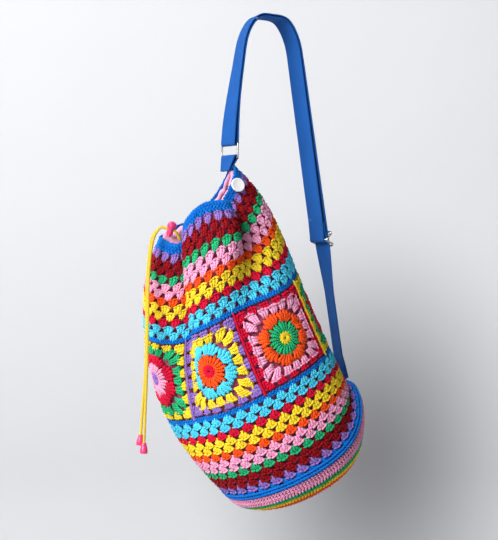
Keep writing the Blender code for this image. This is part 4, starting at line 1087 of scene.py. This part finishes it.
def side_heads(origin, side, across, head_at, spread):
    """The chain that closes the heads of a cluster on one side of a square."""
    made = []
    for k in (-1, 0, 1):
        ends = [
            on_side(origin, side, across + (k + way) * spread, head_at - 0.0017 - 0.0009 * abs(k + way * 0.5))
            for way in (-LOOP_REACH, LOOP_REACH)
        ]
        made.append(spot(*ends, 0.0034, LOOP_DEPTH, LOOP_LIFT))
    return made


def granny_square(index):
    """All the rounds of one square, and the cord that joins it to the square on its left."""
    colours = SQUARE_COLOURS[index % len(SQUARE_COLOURS)]
    name = f"square_{index + 1}"
    origin = ((SEAM_TURN + (index + 0.5) / SQUARES_ROUND) * GIRTH, SQUARES_LOW + SQUARE_HEIGHT / 2.0)
    squaring, edging, squaring_heads, edging_heads = [], [], [], []
    for side in range(4):
        for across, foot_at, draw, lean in (
            (-0.0145, 0.0340, 0.90, 0.0), (0.0, 0.0340, 0.90, 0.0), (0.0145, 0.0340, 0.90, 0.0),
            (0.0320, 0.0300, 0.80, 0.0015), (-0.0320, 0.0300, 0.80, -0.0015),
        ):
            squaring += side_cluster(origin, side, across, foot_at, SQUARING_TOP, draw, SQUARING_SPREAD,
                                     SQUARING_WIDTH, lean)
            squaring_heads += side_heads(origin, side, across + lean, SQUARING_TOP, SQUARING_SPREAD)
        for k in range(6):
            across = (k - 2.5) * PITCH
            draw = 0.92 if abs(k - 2.5) > 2.0 else 1.0
            edging += side_cluster(origin, side, across, EDGING_FOOT, EDGING_TOP, draw, 0.0046, 0.0056)
            edging_heads += side_heads(origin, side, across, EDGING_TOP, 0.0044)
    seam_x, step = origin[0] + HALF, SQUARE_HEIGHT / CORD_STITCHES
    seam = []
    for k in range(CORD_STITCHES):
        y = SQUARES_LOW + (k + 0.5) * step
        foot, head = (seam_x - CORD_SLANT, y - step), (seam_x + CORD_SLANT, y + step)
        seam.append(spot(foot, head, 0.0040, 0.0042, 0.0028))
    disc = ring_of_posts(origin, 24, CENTRE_RADIUS - 0.0016, DISC_RADIUS, 0.0052, 0.0013, 0.0026)
    for suffix, spots, shape, colour, part, draw in (
        ("centre", ring_of_posts(origin, 12, 0.0012, CENTRE_RADIUS, 0.0044, 0.0012), POST, 0, "disc", 0),
        ("round", disc, POST, 1, "disc", 1),
        ("ring", petals(origin), POST, 2, "petals", 2),
        ("squaring", squaring, POST, 3, "frame", 3),
        ("edging", edging, POST, 4, "frame", 4),
        ("squaring_heads", squaring_heads, CLOSE, 3, "frame", 6),
        ("edging_heads", edging_heads, CLOSE, 4, "frame", 7),
        ("joining_cord", seam, CLOSE, 4, "frame", 5),
    ):
        lay(f"{name}_{suffix}", spots, shape, colours[colour], [f"{name}_{part}"], 100 + 10 * index + draw)


for square in range(SQUARES_ROUND):
    granny_square(square)
print("squares", SQUARES_ROUND)

# %% [markdown]
# A cotton bag lines the crochet. It is one sheet of cloth, smooth low down, that is drawn into
# gathers towards the mouth and turned over there into a soft casing for the drawstring. It shows
# through every hole, in the mouth, and in the end of the hem that the cords leave.

# %% Lining
def ripple(turns, counts, seed):
    """Uneven waves round the bag, about one unit high, that close on themselves."""
    rng = np.random.default_rng(seed)
    total = np.zeros_like(np.asarray(turns, float))
    for count in counts:
        total += rng.uniform(0.5, 1.0) * np.sin(math.tau * (count * turns + rng.uniform()))
    return total / math.sqrt(len(counts))


LINING_COLUMNS = 420
LINING_ROWS = 40


def lining():
    """One sheet from the middle of the base up the wall and round the casing at the mouth."""
    turns = np.arange(LINING_COLUMNS) / LINING_COLUMNS
    rise = hem_rise(turns)
    rows = []
    for s in np.linspace(-BASE_REACH * 0.97, BORDER_LOW - 0.004, LINING_ROWS):
        share = float(eased((s - SQUARES_TOP) / (BORDER_LOW - SQUARES_TOP)))
        slack = 0.0007 * ripple(turns, (9, 14, 23), 3) + share * 0.0007 * ripple(turns, (22, 31, 39), 5)
        rows.append(cloth(turns, s, -LINING_GAP - 0.0004 - np.abs(slack)))
    foot = WALL_TOP - BORDER_HEIGHT * 0.4
    tuck = ripple(turns, (17, 24, 31), 7)
    fine = ripple(turns, (38, 47, 59), 9)
    casing = (
        (BORDER_LOW, 0.0, -0.0034, 0.0004), (foot - 0.003, 0.0, -0.0026, 0.0005),
        (foot, 0.0, -0.0020, 0.0006), (WALL_TOP - 0.001, 0.55, -0.0040, 0.0005),
        (WALL_TOP, 0.85, -0.0056, 0.0004), (WALL_TOP, 0.97, -0.0070, 0.0004),
        (WALL_TOP, 1.0, -0.0084, 0.0004), (WALL_TOP, 0.95, -0.0098, 0.0005),
        (WALL_TOP - 0.0012, 0.8, -0.0111, 0.0006), (WALL_TOP - 0.0036, 0.5, -0.0115, 0.0008),
        (foot - 0.001, 0.2, -0.0101, 0.0010), (foot - 0.004, 0.0, -0.0078, 0.0010),
        (BORDER_LOW - 0.003, 0.0, -0.0062, 0.0006),
    )
    for s, share, lift, depth in casing:
        rows.append(cloth(turns + 0.0012 * share * fine, s + rise * share + 0.0008 * share * tuck,
                          lift + depth * (tuck + 0.5 * fine)))
    across = np.tile(turns * GIRTH, len(rows))
    up = np.repeat(distances(np.array([row[0] for row in rows])), LINING_COLUMNS)
    below = sample(GRID_OUT, 0.0, GRID_LOW + 2.0 * GRID_STEP)
    points = np.vstack([*rows, sample(GRID, 0.0, GRID_LOW) - below * LINING_GAP])
    faces = ring_faces(len(rows), LINING_COLUMNS)
    faces += [((i + 1) % LINING_COLUMNS, i, len(points) - 1) for i in range(LINING_COLUMNS)]
    coordinates = np.vstack([np.stack([across, up], axis=-1), (0.0, 0.0)])
    made = finished("lining_cloth", points, [face[::-1] for face in faces], LINING_CLOTH, coordinates)
    shell = made.modifiers.new("thickness", "SOLIDIFY")
    shell.thickness = LINING_THICKNESS * 0.6
    shell.offset = -1.0
    applied(made)
    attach(made, "bag")
    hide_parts("lining_base", "lining_wall", "lining_hem")


lining()

# %% [markdown]
# The strap is a loop of tight cotton webbing. From the ring on its left it runs up doubled, over the
# hand that it hangs from, and down doubled to the slider; below that a single tail runs on and is
# sewn to the base. Webbing is modelled directly, as a thin band with rounded edges that is carried
# along the path, because its own stiffness gives it clean curves.

# %% Strap
WEBBING_WIDTH = 0.030
WEBBING_THICKNESS = 0.0018
LAYER_GAP = 0.0012
STRAP_TURN = math.radians(35)
LEG_TWIST = math.radians(-14)
TAIL_TWIST = math.radians(-16)
TAB_TWIST = math.radians(-14)
TAIL_TURN = 0.968
TAIL_RUN = (0.1743, -0.9847)
TAIL_START = (0.0465, -0.0600)
SLIDER_DROP = 0.2745
INNER_LAYER_END = 0.046
SLACK_SPREAD = 0.0060
TAB_TURN = 0.983
TAB_SHIFT = 0.0040
TAB_LEAN = 0.0020
TAB_DRAW = 0.0056
TAB_PLAY = 0.0002
TAB_NARROWER = 0.0014
RING_WIRE = 0.0012
RING_HEIGHT = 0.0181
RING_CORNER = 0.0022
RING_PLACE = (-0.0577, -0.1577)
SIDE_PLAY = 0.0010
BAR_PLAY = 0.0008
SLIDER_WIRE = 0.0013
SLIDER_HEIGHT = 0.0180
SLIDE_PLAY = 0.0006
FOLD_PLAY = 0.0004
FOLD_REACH = 0.026
STRAP_ACROSS = np.array([math.cos(STRAP_TURN), math.sin(STRAP_TURN), 0.0])
STRAP_SIDE = np.array([math.sin(STRAP_TURN), -math.cos(STRAP_TURN), 0.0])
LAYER_STEP = WEBBING_THICKNESS + LAYER_GAP
RING_FOLD = RING_WIRE + BAR_PLAY + WEBBING_THICKNESS / 2.0
TAIL_OUT = np.array([-TAIL_RUN[1], TAIL_RUN[0]])


def strap_point(across, height):
    """Point of the strap's plane, in the frame."""
    return STRAP_ACROSS * across + UP * height


def arc(centre, radius, start, end, steps):
    """Points of an arc in the strap's plane, angles in degrees from its across direction."""
    angles = np.radians(np.linspace(start, end, steps + 1))
    return [(centre[0] + radius * math.cos(a), centre[1] + radius * math.sin(a)) for a in angles]


def offset_path(path, distance):
    """Path in the strap's plane moved sideways, to the right of its direction when positive."""
    path = np.array(path)
    run = units(np.gradient(path, axis=0))
    return path + np.stack([run[:, 1], -run[:, 0]], axis=-1) * distance


def tail_point(distance, out=0.0):
    """Point on the straight tail at a distance down it, out of the loop when out is positive."""
    return np.array(TAIL_START) + np.array(TAIL_RUN) * distance + TAIL_OUT * out


SLIDER_DISTANCE = (-SLIDER_DROP - TAIL_START[1]) / TAIL_RUN[1]
TAIL_SPREAD = WEBBING_WIDTH / 2.0 / GIRTH
RIM_NEAR, RIM_MIDDLE, RIM_FAR = (
    cloth([TAIL_TURN + TAIL_SPREAD * k], RIM_HEIGHT * 0.7, CREST_HIGH)[0] for k in (1, 0, -1)
)
RIM_SLOPE = (RIM_NEAR[2] - RIM_FAR[2]) / WEBBING_WIDTH
TAIL_END = (RIM_MIDDLE[2] + WEBBING_THICKNESS - TAIL_START[1]) / TAIL_RUN[1]


def strap_twist(point):
    """Turn of the webbing's width about its run: none at the ring, a little below the apex."""
    across, height = point
    if across < 0.0:
        return LEG_TWIST * float(eased((0.160 + height) / 0.14) * eased(-across / 0.036))
    return TAIL_TWIST * float(eased((-SLIDER_DROP - height) / 0.075))


def strap_sides(path):
    """Width directions along a path in the strap's plane."""
    run = units(np.gradient(np.array(path), axis=0))
    sides = []
    for point, direction in zip(path, run):
        along = (STRAP_ACROSS * direction[0] + UP * direction[1]) * (1.0 if direction[1] > 0.0 else -1.0)
        sides.append(np.array(Matrix.Rotation(strap_twist(point), 3, Vector(along)) @ Vector(STRAP_SIDE)))
    return sides


print("tail of the strap", round(TAIL_END, 3), "m")

# %% [markdown]
# Every band of the strap has the same section. Its selvedges are drawn in a little at even steps,
# where the weft turns round their cord.

# %% Webbing
SELVEDGE_STEP = 0.0028
SELVEDGE_DEPTH = 0.0006
SELVEDGE_WIDTH = 0.0020


def webbing(name, path, sides, nodes, body="bag", width=WEBBING_WIDTH):
    """Band of webbing along a path, its selvedges beaded where the weft turns round their cord."""
    reach = distances(np.array(path))
    along = np.linspace(0.0, reach[-1], 4 * max(1, round(float(reach[-1]) / SELVEDGE_STEP)) + 1)
    path = between(along, reach, path)
    run = units(np.gradient(path, axis=0))
    half, thick = width / 2.0, WEBBING_THICKNESS / 2.0
    section = [
        (half, 0.0), (half - 0.0004, thick * 0.80), (half - 0.0014, thick), (half - 0.0030, thick * 0.80),
    ]
    section += [(-x, y) for x, y in section[:0:-1]]
    section += [(-x, -y) for x, y in section]
    points, coordinates = [], []
    sides = between(along, reach, sides)
    for k, (place, side, direction, distance) in enumerate(zip(path, sides, run, along)):
        side = unit(side)
        out = unit(np.cross(direction, side))
        drawn_in = SELVEDGE_DEPTH * (0.0, 0.5, 1.0, 0.5)[k % 4]
        for x, y in section:
            edge = max(abs(x) - half + SELVEDGE_WIDTH, 0.0) / SELVEDGE_WIDTH
            points.append(place + side * (x - math.copysign(drawn_in * edge, x)) + out * y)
            coordinates.append((x, distance))
    faces = ring_faces(len(path), len(section), flipped=True, capped=True)
    made = finished(name, points, faces, WEBBING, coordinates)
    with reworked(made.data) as work:
        bmesh.ops.recalc_face_normals(work, faces=work.faces)
        for face in work.faces:
            if len(face.verts) > 4:
                for edge in face.edges:
                    edge.smooth = False
    smoothed(made.data)
    print(name, "length", round(float(reach[-1]), 3), "m")
    if body:
        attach(made, body)
    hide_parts(*nodes)
    return made


def slider_bar_out():
    """Centre bar's distance out of the tail's run: on the near side of the webbing."""
    return -(WEBBING_THICKNESS * 1.5 + SLIDE_PLAY + FOLD_PLAY + SLIDER_WIRE)


def strap():
    """Webbing, the slack layer that ends at the slider, and the fold sewn round its bar."""
    ring_left = RING_PLACE[0] - RING_FOLD
    outer = smooth_path([
        (ring_left, RING_PLACE[1]), (-0.0570, -0.1228), (-0.0474, -0.0655), (-0.0385, -0.0240),
        (-0.0225, -0.0005), (0.0, LAYER_STEP + WEBBING_THICKNESS / 2.0), (0.0225, -0.0010),
        (0.0385, -0.0250), TAIL_START,
    ], 0.003)
    spread = np.interp(outer[:, 1], [RING_PLACE[1], -0.10], [2.0 * RING_FOLD, LAYER_STEP])
    spread = np.where(outer[:, 0] < 0.0, spread, LAYER_STEP)
    inner = offset_path(outer, spread[:, None])
    inner = [point for point in inner if point[0] < 0.0 or point[1] > -INNER_LAYER_END]
    ring_turn = arc(RING_PLACE, RING_FOLD, 180.0, 360.0, 16)
    tail = [tail_point(d) for d in np.linspace(0.0, TAIL_END, 90)][1:]
    path = [*inner[::-1], *ring_turn[::-1][1:-1], *outer, *tail]
    sides = strap_sides(path)
    for k in range(8):
        sides[-1 - k] = sides[-1 - k] * (k / 8.0) + (STRAP_SIDE + UP * RIM_SLOPE) * (1.0 - k / 8.0)
    webbing("strap_band", [strap_point(*p) for p in path], sides, ["strap_webbing"])

    near = -SLACK_SPREAD
    bar_out = slider_bar_out()
    fold_radius = SLIDER_WIRE + FOLD_PLAY + WEBBING_THICKNESS / 2.0
    fold_top = SLIDER_DISTANCE - FOLD_REACH
    top = np.array(inner[-1]) + np.array(TAIL_RUN) * 0.0001
    bottom = tail_point(fold_top - YARN_GAP, near)
    slack = [top + (bottom - top) * k for k in np.linspace(0.0, 1.0, 60)]
    slack_points = [strap_point(*p) for p in slack]
    slack_band = webbing("strap_slack_band", slack_points, strap_sides(slack), ["strap_slack_layer"], None)
    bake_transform(slack_band)
    fold = [tail_point(fold_top, near), tail_point(SLIDER_DISTANCE - 0.012, near - 0.0006)]
    for angle in np.radians(np.linspace(180.0, 360.0, 17)):
        lower, out = SLIDER_DISTANCE - math.sin(angle) * fold_radius, bar_out + math.cos(angle) * fold_radius
        fold.append(tail_point(lower, out))
    inward = near + WEBBING_THICKNESS + FOLD_PLAY
    fold += [tail_point(SLIDER_DISTANCE - 0.012, inward), tail_point(fold_top + 0.003, inward)]
    fold_points = [strap_point(*p) for p in fold]
    webbing("strap_fold_band", fold_points, strap_sides(fold), ["strap_end_fold"], "slider")


strap()


def tab():
    """Folded piece of webbing round the ring's lower bar, turning into the peak of the mouth."""
    bar = np.array([RING_PLACE[0], RING_PLACE[1] - RING_HEIGHT])
    end = cloth([TAB_TURN], WALL_TOP - HEM_SINK, -HEM_TUCK / 2.0)[0][2] + 2.0 * WEBBING_THICKNESS
    drop = bar[1] - end
    steps = np.linspace(0.1, 1.0, 8)
    fold = RING_FOLD + TAB_PLAY
    outer = [bar + np.array([-fold - TAB_LEAN * k, -drop * k]) for k in steps]
    inner = [bar + np.array([fold - TAB_DRAW * k, -drop * k]) for k in steps[::-1]]
    path = [*inner, *arc(bar, fold, 0.0, 180.0, 16), *outer]
    points, sides = [], []
    for across, height in path:
        share = max(bar[1] - height, 0.0) / drop
        sides.append(np.array(Matrix.Rotation(TAB_TWIST * share, 3, Vector(UP)) @ Vector(STRAP_SIDE)))
        points.append(strap_point(across, height) - STRAP_SIDE * TAB_SHIFT * share)
    webbing("tab_band", points, sides, ["strap_tab"], width=WEBBING_WIDTH - TAB_NARROWER)


tab()

# %% [markdown]
# The ring and the slider are bent wire with a bright nickel plate: one closed loop each, and a
# straight bar across the slider for the strap's fold.

# %% Ring and slider
def rounded_rectangle(width, height, corner, steps=8):
    """Outline about the middle of a rectangle with rounded corners."""
    points = []
    for quarter, (sx, sy) in enumerate(((1, 1), (-1, 1), (-1, -1), (1, -1))):
        for k in range(steps + 1):
            angle = math.radians(90.0 * (quarter + k / steps))
            x = sx * (width / 2.0 - corner) + corner * math.cos(angle)
            y = sy * (height / 2.0 - corner) + corner * math.sin(angle)
            points.append((x, y))
    return points


def placed(points, origin, x_axis, y_axis, z_axis):
    """Points measured along three axes from an origin, in the frame."""
    return [origin + x_axis * x + y_axis * y + z_axis * z for x, y, z in points]


def ring():
    width = WEBBING_WIDTH + 2.0 * (SIDE_PLAY + RING_WIRE)
    outline = rounded_rectangle(width, RING_HEIGHT, RING_CORNER)
    points = [(x, 0.0, y - RING_HEIGHT / 2.0) for x, y in outline]
    path = placed(points, strap_point(*RING_PLACE), -STRAP_SIDE, -STRAP_ACROSS, UP)
    made = tube("ring_wire", path, RING_WIRE, NICKEL, 16, closed=True)
    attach(made, "ring")
    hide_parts("rectangular_ring")


def slider():
    bar_out = slider_bar_out()
    end_out = WEBBING_THICKNESS / 2.0 + SLIDE_PLAY + SLIDER_WIRE
    width = WEBBING_WIDTH + 2.0 * (SIDE_PLAY + SLIDER_WIRE)
    outline = rounded_rectangle(width, SLIDER_HEIGHT, 2.0 * SLIDER_WIRE)
    half = SLIDER_HEIGHT / 2.0
    corner = len(outline) // 4
    points = []
    for index, (x, y) in enumerate(outline):
        points.append((x, end_out, y))
        if index in (2 * corner - 1, 4 * corner - 1):
            sign = -1.0 if index == 2 * corner - 1 else 1.0
            for height in np.linspace(0.55, -0.55, 9):
                bow = bar_out + (end_out - bar_out) * float(eased(abs(height) / 0.85))
                points.append((sign * width / 2.0, bow, -sign * height * half))
    outward = STRAP_ACROSS * TAIL_OUT[0] + UP * TAIL_OUT[1]
    upward = -(STRAP_ACROSS * TAIL_RUN[0] + UP * TAIL_RUN[1])
    origin = strap_point(*tail_point(SLIDER_DISTANCE))
    path = placed(points, origin, STRAP_SIDE, outward, upward)
    loop = tube("slider_wire", path, SLIDER_WIRE, NICKEL, 16, closed=True)
    ends = [origin + outward * bar_out + STRAP_SIDE * width / 2.0 * k for k in np.linspace(-1.0, 1.0, 5)]
    bar = tube("slider_bar", ends, SLIDER_WIRE * 0.96, NICKEL, 16)
    for made in (loop, bar):
        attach(made, "slider")
        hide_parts("slider_frame")


ring()
slider()
print("wire of the ring", RING_WIRE * 2000.0, "mm and of the slider", SLIDER_WIRE * 2000.0, "mm")

# %% [markdown]
# The toggle is a moulded ball with a neck. A plunger inside the neck has a slot for the two cords,
# and a small spring pushes it out so that its edge nips them. Shell and plunger are cut with exact
# booleans from smooth solids, so their bores and rims stay crisp.

# %% Toggle
LOCK_DEPTH = 1.45
LOCK_HEAD_RISE = 0.0045
LOCK_NECK_END = 0.0065
BORE_RADIUS = 0.0027
BORE_DEPTH = 1.85
PLUNGER_PLAY = 0.0003
PLUNGER_TRAVEL = 0.0025
PLUNGER_TOP = 0.0034
BUTTON_END = 0.0090
PLUNGER_RADIUS = 0.0029
SPRING_WIRE = 0.0002
SPRING_RADIUS = 0.0022
SPRING_TURNS = 4
SPRING_SOLID = 0.0020
TOOL_REACH = 0.012
CREASE_ANGLE = math.radians(40.0)
LOCK_AXES = (-LOCK_ALONG, np.array([0.0, 1.0, 0.0]), -LOCK_DOWN)


def oval_solid(name, profile, depth, sides=48):
    """Solid of revolution about the lock's axis from a top-down profile, drawn out in depth."""
    x, y, z = LOCK_AXES
    return revolved(name, profile, PINK_PLASTIC, LOCK_ORIGIN, (x, y * depth, z), sides)


def cut(made, *others):
    """The piece less the others, cut exactly and made a plain mesh; the others are removed."""
    for other in others:
        step = made.modifiers.new("difference", "BOOLEAN")
        step.operation = "DIFFERENCE"
        step.object = other
        step.solver = "EXACT"
    solid = applied(made)
    for other in others:
        bpy.data.objects.remove(other, do_unlink=True)
    with reworked(solid) as work:
        for edge in work.edges:
            edge.smooth = edge.calc_face_angle(0.0) < CREASE_ANGLE
    smoothed(solid)


def dome(radius, middle, start, end, steps):
    """Profile points of a ball between two angles from straight up."""
    angles = np.radians(np.linspace(start, end, steps))
    return [(radius * math.sin(a), middle + radius * math.cos(a)) for a in angles]


def toggle():
    """Shell, plunger and spring; shell and plunger each ride on their own body."""
    wall = LOCK_NECK - PLUNGER_RADIUS - PLUNGER_PLAY
    shell = oval_solid("toggle_shell", [
        *dome(LOCK_RADIUS, LOCK_HEAD_RISE, 0.0, 132.0, 22), (LOCK_NECK + 0.0002, -0.0006),
        (LOCK_NECK, -0.0020), (LOCK_NECK, -LOCK_NECK_END + 0.0006), (LOCK_NECK - 0.0003, -LOCK_NECK_END),
        (0.0, -LOCK_NECK_END),
    ], LOCK_DEPTH)
    inner = PLUNGER_RADIUS + PLUNGER_PLAY
    cavity_top = PLUNGER_TOP + PLUNGER_TRAVEL + SPRING_SOLID
    cavity_depth = (LOCK_NECK * LOCK_DEPTH - wall) / inner
    cavity = oval_solid("toggle_cavity", [
        (0.0, cavity_top), (inner, cavity_top), (inner, -0.014), (0.0, -0.014),
    ], cavity_depth)
    rod = [(0.0, TOOL_REACH), (BORE_RADIUS, TOOL_REACH), (BORE_RADIUS, -TOOL_REACH), (0.0, -TOOL_REACH)]
    axes = (LOCK_AXES[2], np.array([0.0, BORE_DEPTH, 0.0]), LOCK_ALONG)
    cut(shell, cavity, revolved("toggle_bore", rod, PINK_PLASTIC, LOCK_ORIGIN, axes, 32))

    depth = (LOCK_NECK * LOCK_DEPTH - wall - PLUNGER_PLAY) / PLUNGER_RADIUS
    plunger = oval_solid("toggle_plunger", [
        (0.0, PLUNGER_TOP), (PLUNGER_RADIUS - 0.0003, PLUNGER_TOP), (PLUNGER_RADIUS, PLUNGER_TOP - 0.0003),
        (PLUNGER_RADIUS, -BUTTON_END + 0.0007), (PLUNGER_RADIUS - 0.0003, -BUTTON_END + 0.0002),
        (PLUNGER_RADIUS - 0.0008, -BUTTON_END), (0.0, -BUTTON_END),
    ], depth)
    half = CORD_RADIUS + CORD_PLAY
    corners = [
        ((half + PLUNGER_TRAVEL / 2.0) * z - PLUNGER_TRAVEL / 2.0, 2.0 * half * y, TOOL_REACH * x)
        for x in (-1, 1) for y in (-1, 1) for z in (-1, 1)
    ]
    place = placed(corners, LOCK_ORIGIN, LOCK_AXES[2], LOCK_AXES[1], LOCK_ALONG)
    faces = [(0, 1, 3, 2), (4, 6, 7, 5), (0, 4, 5, 1), (2, 3, 7, 6), (0, 2, 6, 4), (1, 5, 7, 3)]
    slot = finished("toggle_slot", place, faces, PINK_PLASTIC, smooth=False)
    with reworked(slot.data) as work:
        bmesh.ops.recalc_face_normals(work, faces=work.faces)
    cut(plunger, slot)

    low, high = PLUNGER_TOP + PLUNGER_PLAY, cavity_top - PLUNGER_PLAY
    angles = np.linspace(0.0, SPRING_TURNS * math.tau, SPRING_TURNS * 20 + 1)
    heights = np.linspace(low + SPRING_WIRE, high - SPRING_WIRE, len(angles))
    coil = [(SPRING_RADIUS * math.cos(a), SPRING_RADIUS * math.sin(a), h) for a, h in zip(angles, heights)]
    spring = tube("toggle_spring", placed(coil, LOCK_ORIGIN, *LOCK_AXES), SPRING_WIRE, NICKEL, 8)
    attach(shell, "lock")
    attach(plunger, "plunger")
    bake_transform(spring)
    for made, node, slot_name in (
        (shell, "cord_lock_shell", "hot_pink"), (plunger, "cord_lock_plunger", "hot_pink"),
        (spring, "cord_lock_spring", "nickel"),
    ):
        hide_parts(node)
    print("toggle faces", len(shell.data.polygons), len(plunger.data.polygons))


toggle()

# %% [markdown]
# A round white button with a slim rim is sewn to the border below the peak, on a short thread shank.

# %% Button
BUTTON_RADIUS = 0.0088
BUTTON_THICKNESS = 0.0026
BUTTON_SHANK = 0.0020
BUTTON_TURN = 0.088
BUTTON_DROP = 0.008


def button():
    """Turned button on its shank, standing on the border's crest."""
    place = cloth([BUTTON_TURN], WALL_TOP - BUTTON_DROP, CREST_HIGH)[0]
    out = unit(sample(GRID_OUT, [BUTTON_TURN], [WALL_TOP - BUTTON_DROP])[0])
    side_way = unit(np.cross(UP, out))
    low, high = YARN_GAP, YARN_GAP + BUTTON_SHANK
    top = high + BUTTON_THICKNESS
    radius, bevel = BUTTON_RADIUS, BUTTON_THICKNESS * 0.3
    edge = radius - bevel
    angles = np.radians(np.linspace(0.0, 90.0, 5))
    profile = [
        (0.0, top - 0.0005), (radius * 0.55, top - 0.00045), (radius * 0.72, top - 0.0002),
        (radius * 0.80, top),
        *((edge + bevel * math.sin(angle), top - bevel + bevel * math.cos(angle)) for angle in angles),
        *((edge + bevel * math.cos(angle), high + bevel - bevel * math.sin(angle)) for angle in angles),
        (BUTTON_SHANK, high), (BUTTON_SHANK * 0.8, (low + high) / 2.0), (BUTTON_SHANK, low), (0.0, low),
    ]
    axes = (side_way, np.cross(out, side_way), out)
    made = revolved("sewn_button", profile, BUTTON_FINISH, place, axes, 64)
    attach(made, "bag")
    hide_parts("button")


button()
print("button", BUTTON_RADIUS * 2000.0, "mm across")

# %% [markdown]
# The studio is plain: a pale round room whose floor curves up into the wall, far enough away that the
# bag can be seen from every side. One big soft light stands at the upper left, and there is little
# other light on the front, so the folds go dark. A soft shadow is painted on the wall paper: it goes
# grey towards the lower right, where a bag on a nearer wall would throw its soft shadow.

# %% Studio
ROOM = 3.6
FLOOR = -1.35
CURVE = 0.40
WALL_HIGH = 3.0
ROOM_SIDES = 96
PALE = ((0.500, 0.505, 0.520), (0.530, 0.535, 0.550))
# A soft shadow painted on the wall paper: its colour, middle, squeeze, reach and strength.
PAINTED_SHADOW = (0.150, 0.150, 0.156)
PAINTED_SHADOW_PLACE = (0.37, 3.56, -0.63)
PAINTED_SHADOW_SQUEEZE = (1.0, 1.0, 0.7)
PAINTED_SHADOW_REACH = 0.62
PAINTED_SHADOW_SHARE = 0.95
WORLD_COLOUR = (0.92, 0.94, 1.0, 1.0)
WORLD_STRENGTH = 0.03


def room():
    """Round floor that curves up into a wall all the way round."""
    profile = [(0.001, FLOOR)]
    for angle in np.radians(np.linspace(0.0, 90.0, 16)):
        profile.append((ROOM - CURVE + CURVE * math.sin(angle), FLOOR + CURVE - CURVE * math.cos(angle)))
    profile.append((ROOM, WALL_HIGH))
    angles = np.arange(ROOM_SIDES) * math.tau / ROOM_SIDES
    points = [(radius * math.cos(a), radius * math.sin(a), z) for radius, z in profile for a in angles]
    paper, tree, shader = shader_for("studio_paper_painted_shadow", **{"Roughness": 0.95, "Specular IOR Level": 0.1})
    # Painted shadow: the paper is darkened in a soft, squeezed patch round a point on the wall behind the
    # bag, to its lower right.
    place = add(tree, "ShaderNodeTexCoord").outputs["Object"]
    squeezed = add(tree, "ShaderNodeVectorMath", {0: place, 1: PAINTED_SHADOW_SQUEEZE}, operation="MULTIPLY").outputs[0]
    apart = add(tree, "ShaderNodeVectorMath", {0: squeezed, 1: PAINTED_SHADOW_PLACE}, operation="DISTANCE")
    painted_shadow = add(tree, "ShaderNodeMapRange", {
        0: apart.outputs["Value"], 1: 0.0, 2: PAINTED_SHADOW_REACH, 3: PAINTED_SHADOW_SHARE, 4: 0.0,
    }, interpolation_type="SMOOTHSTEP").outputs[0]
    pale = mixed(tree, noise(tree, 1.5), *PALE)
    tree.links.new(mixed(tree, painted_shadow, pale, PAINTED_SHADOW), shader.inputs["Base Color"])
    made = finished("studio_room", points, ring_faces(len(profile), ROOM_SIDES), paper)


def soft_light(name, place, aim, size, power):
    """Round area light at a place, turned to its aim."""
    data = bpy.data.lights.new(name, "AREA")
    data.shape = "DISK"
    data.size = size
    data.energy = power
    made = in_scene(name, data)
    made.location = place
    made.rotation_euler = (Vector(aim) - Vector(place)).to_track_quat("-Z", "Y").to_euler()


room()
soft_light("key", (-1.85, -2.40, 1.15), (0.0, 0.0, -0.35), 2.3, 160.0)
soft_light("wall_behind", (-0.9, 0.7, 1.3), (-0.45, ROOM, -0.6), 0.8, 112.0)
soft_light("wall_in_front", (0.8, -1.7, 1.4), (0.8, -ROOM, 0.0), 0.8, 9.0)
world = bpy.data.worlds.new("studio")
world.use_nodes = True
background = world.node_tree.nodes["Background"]
background.inputs[0].default_value = WORLD_COLOUR
background.inputs[1].default_value = WORLD_STRENGTH
bpy.context.scene.world = world
bpy.context.scene.view_settings.view_transform = "Standard"
print("room", ROOM, "m in radius, floor at", FLOOR, "m")
for used_up in (POST, CLOSE):
    bpy.data.objects.remove(used_up, do_unlink=True)
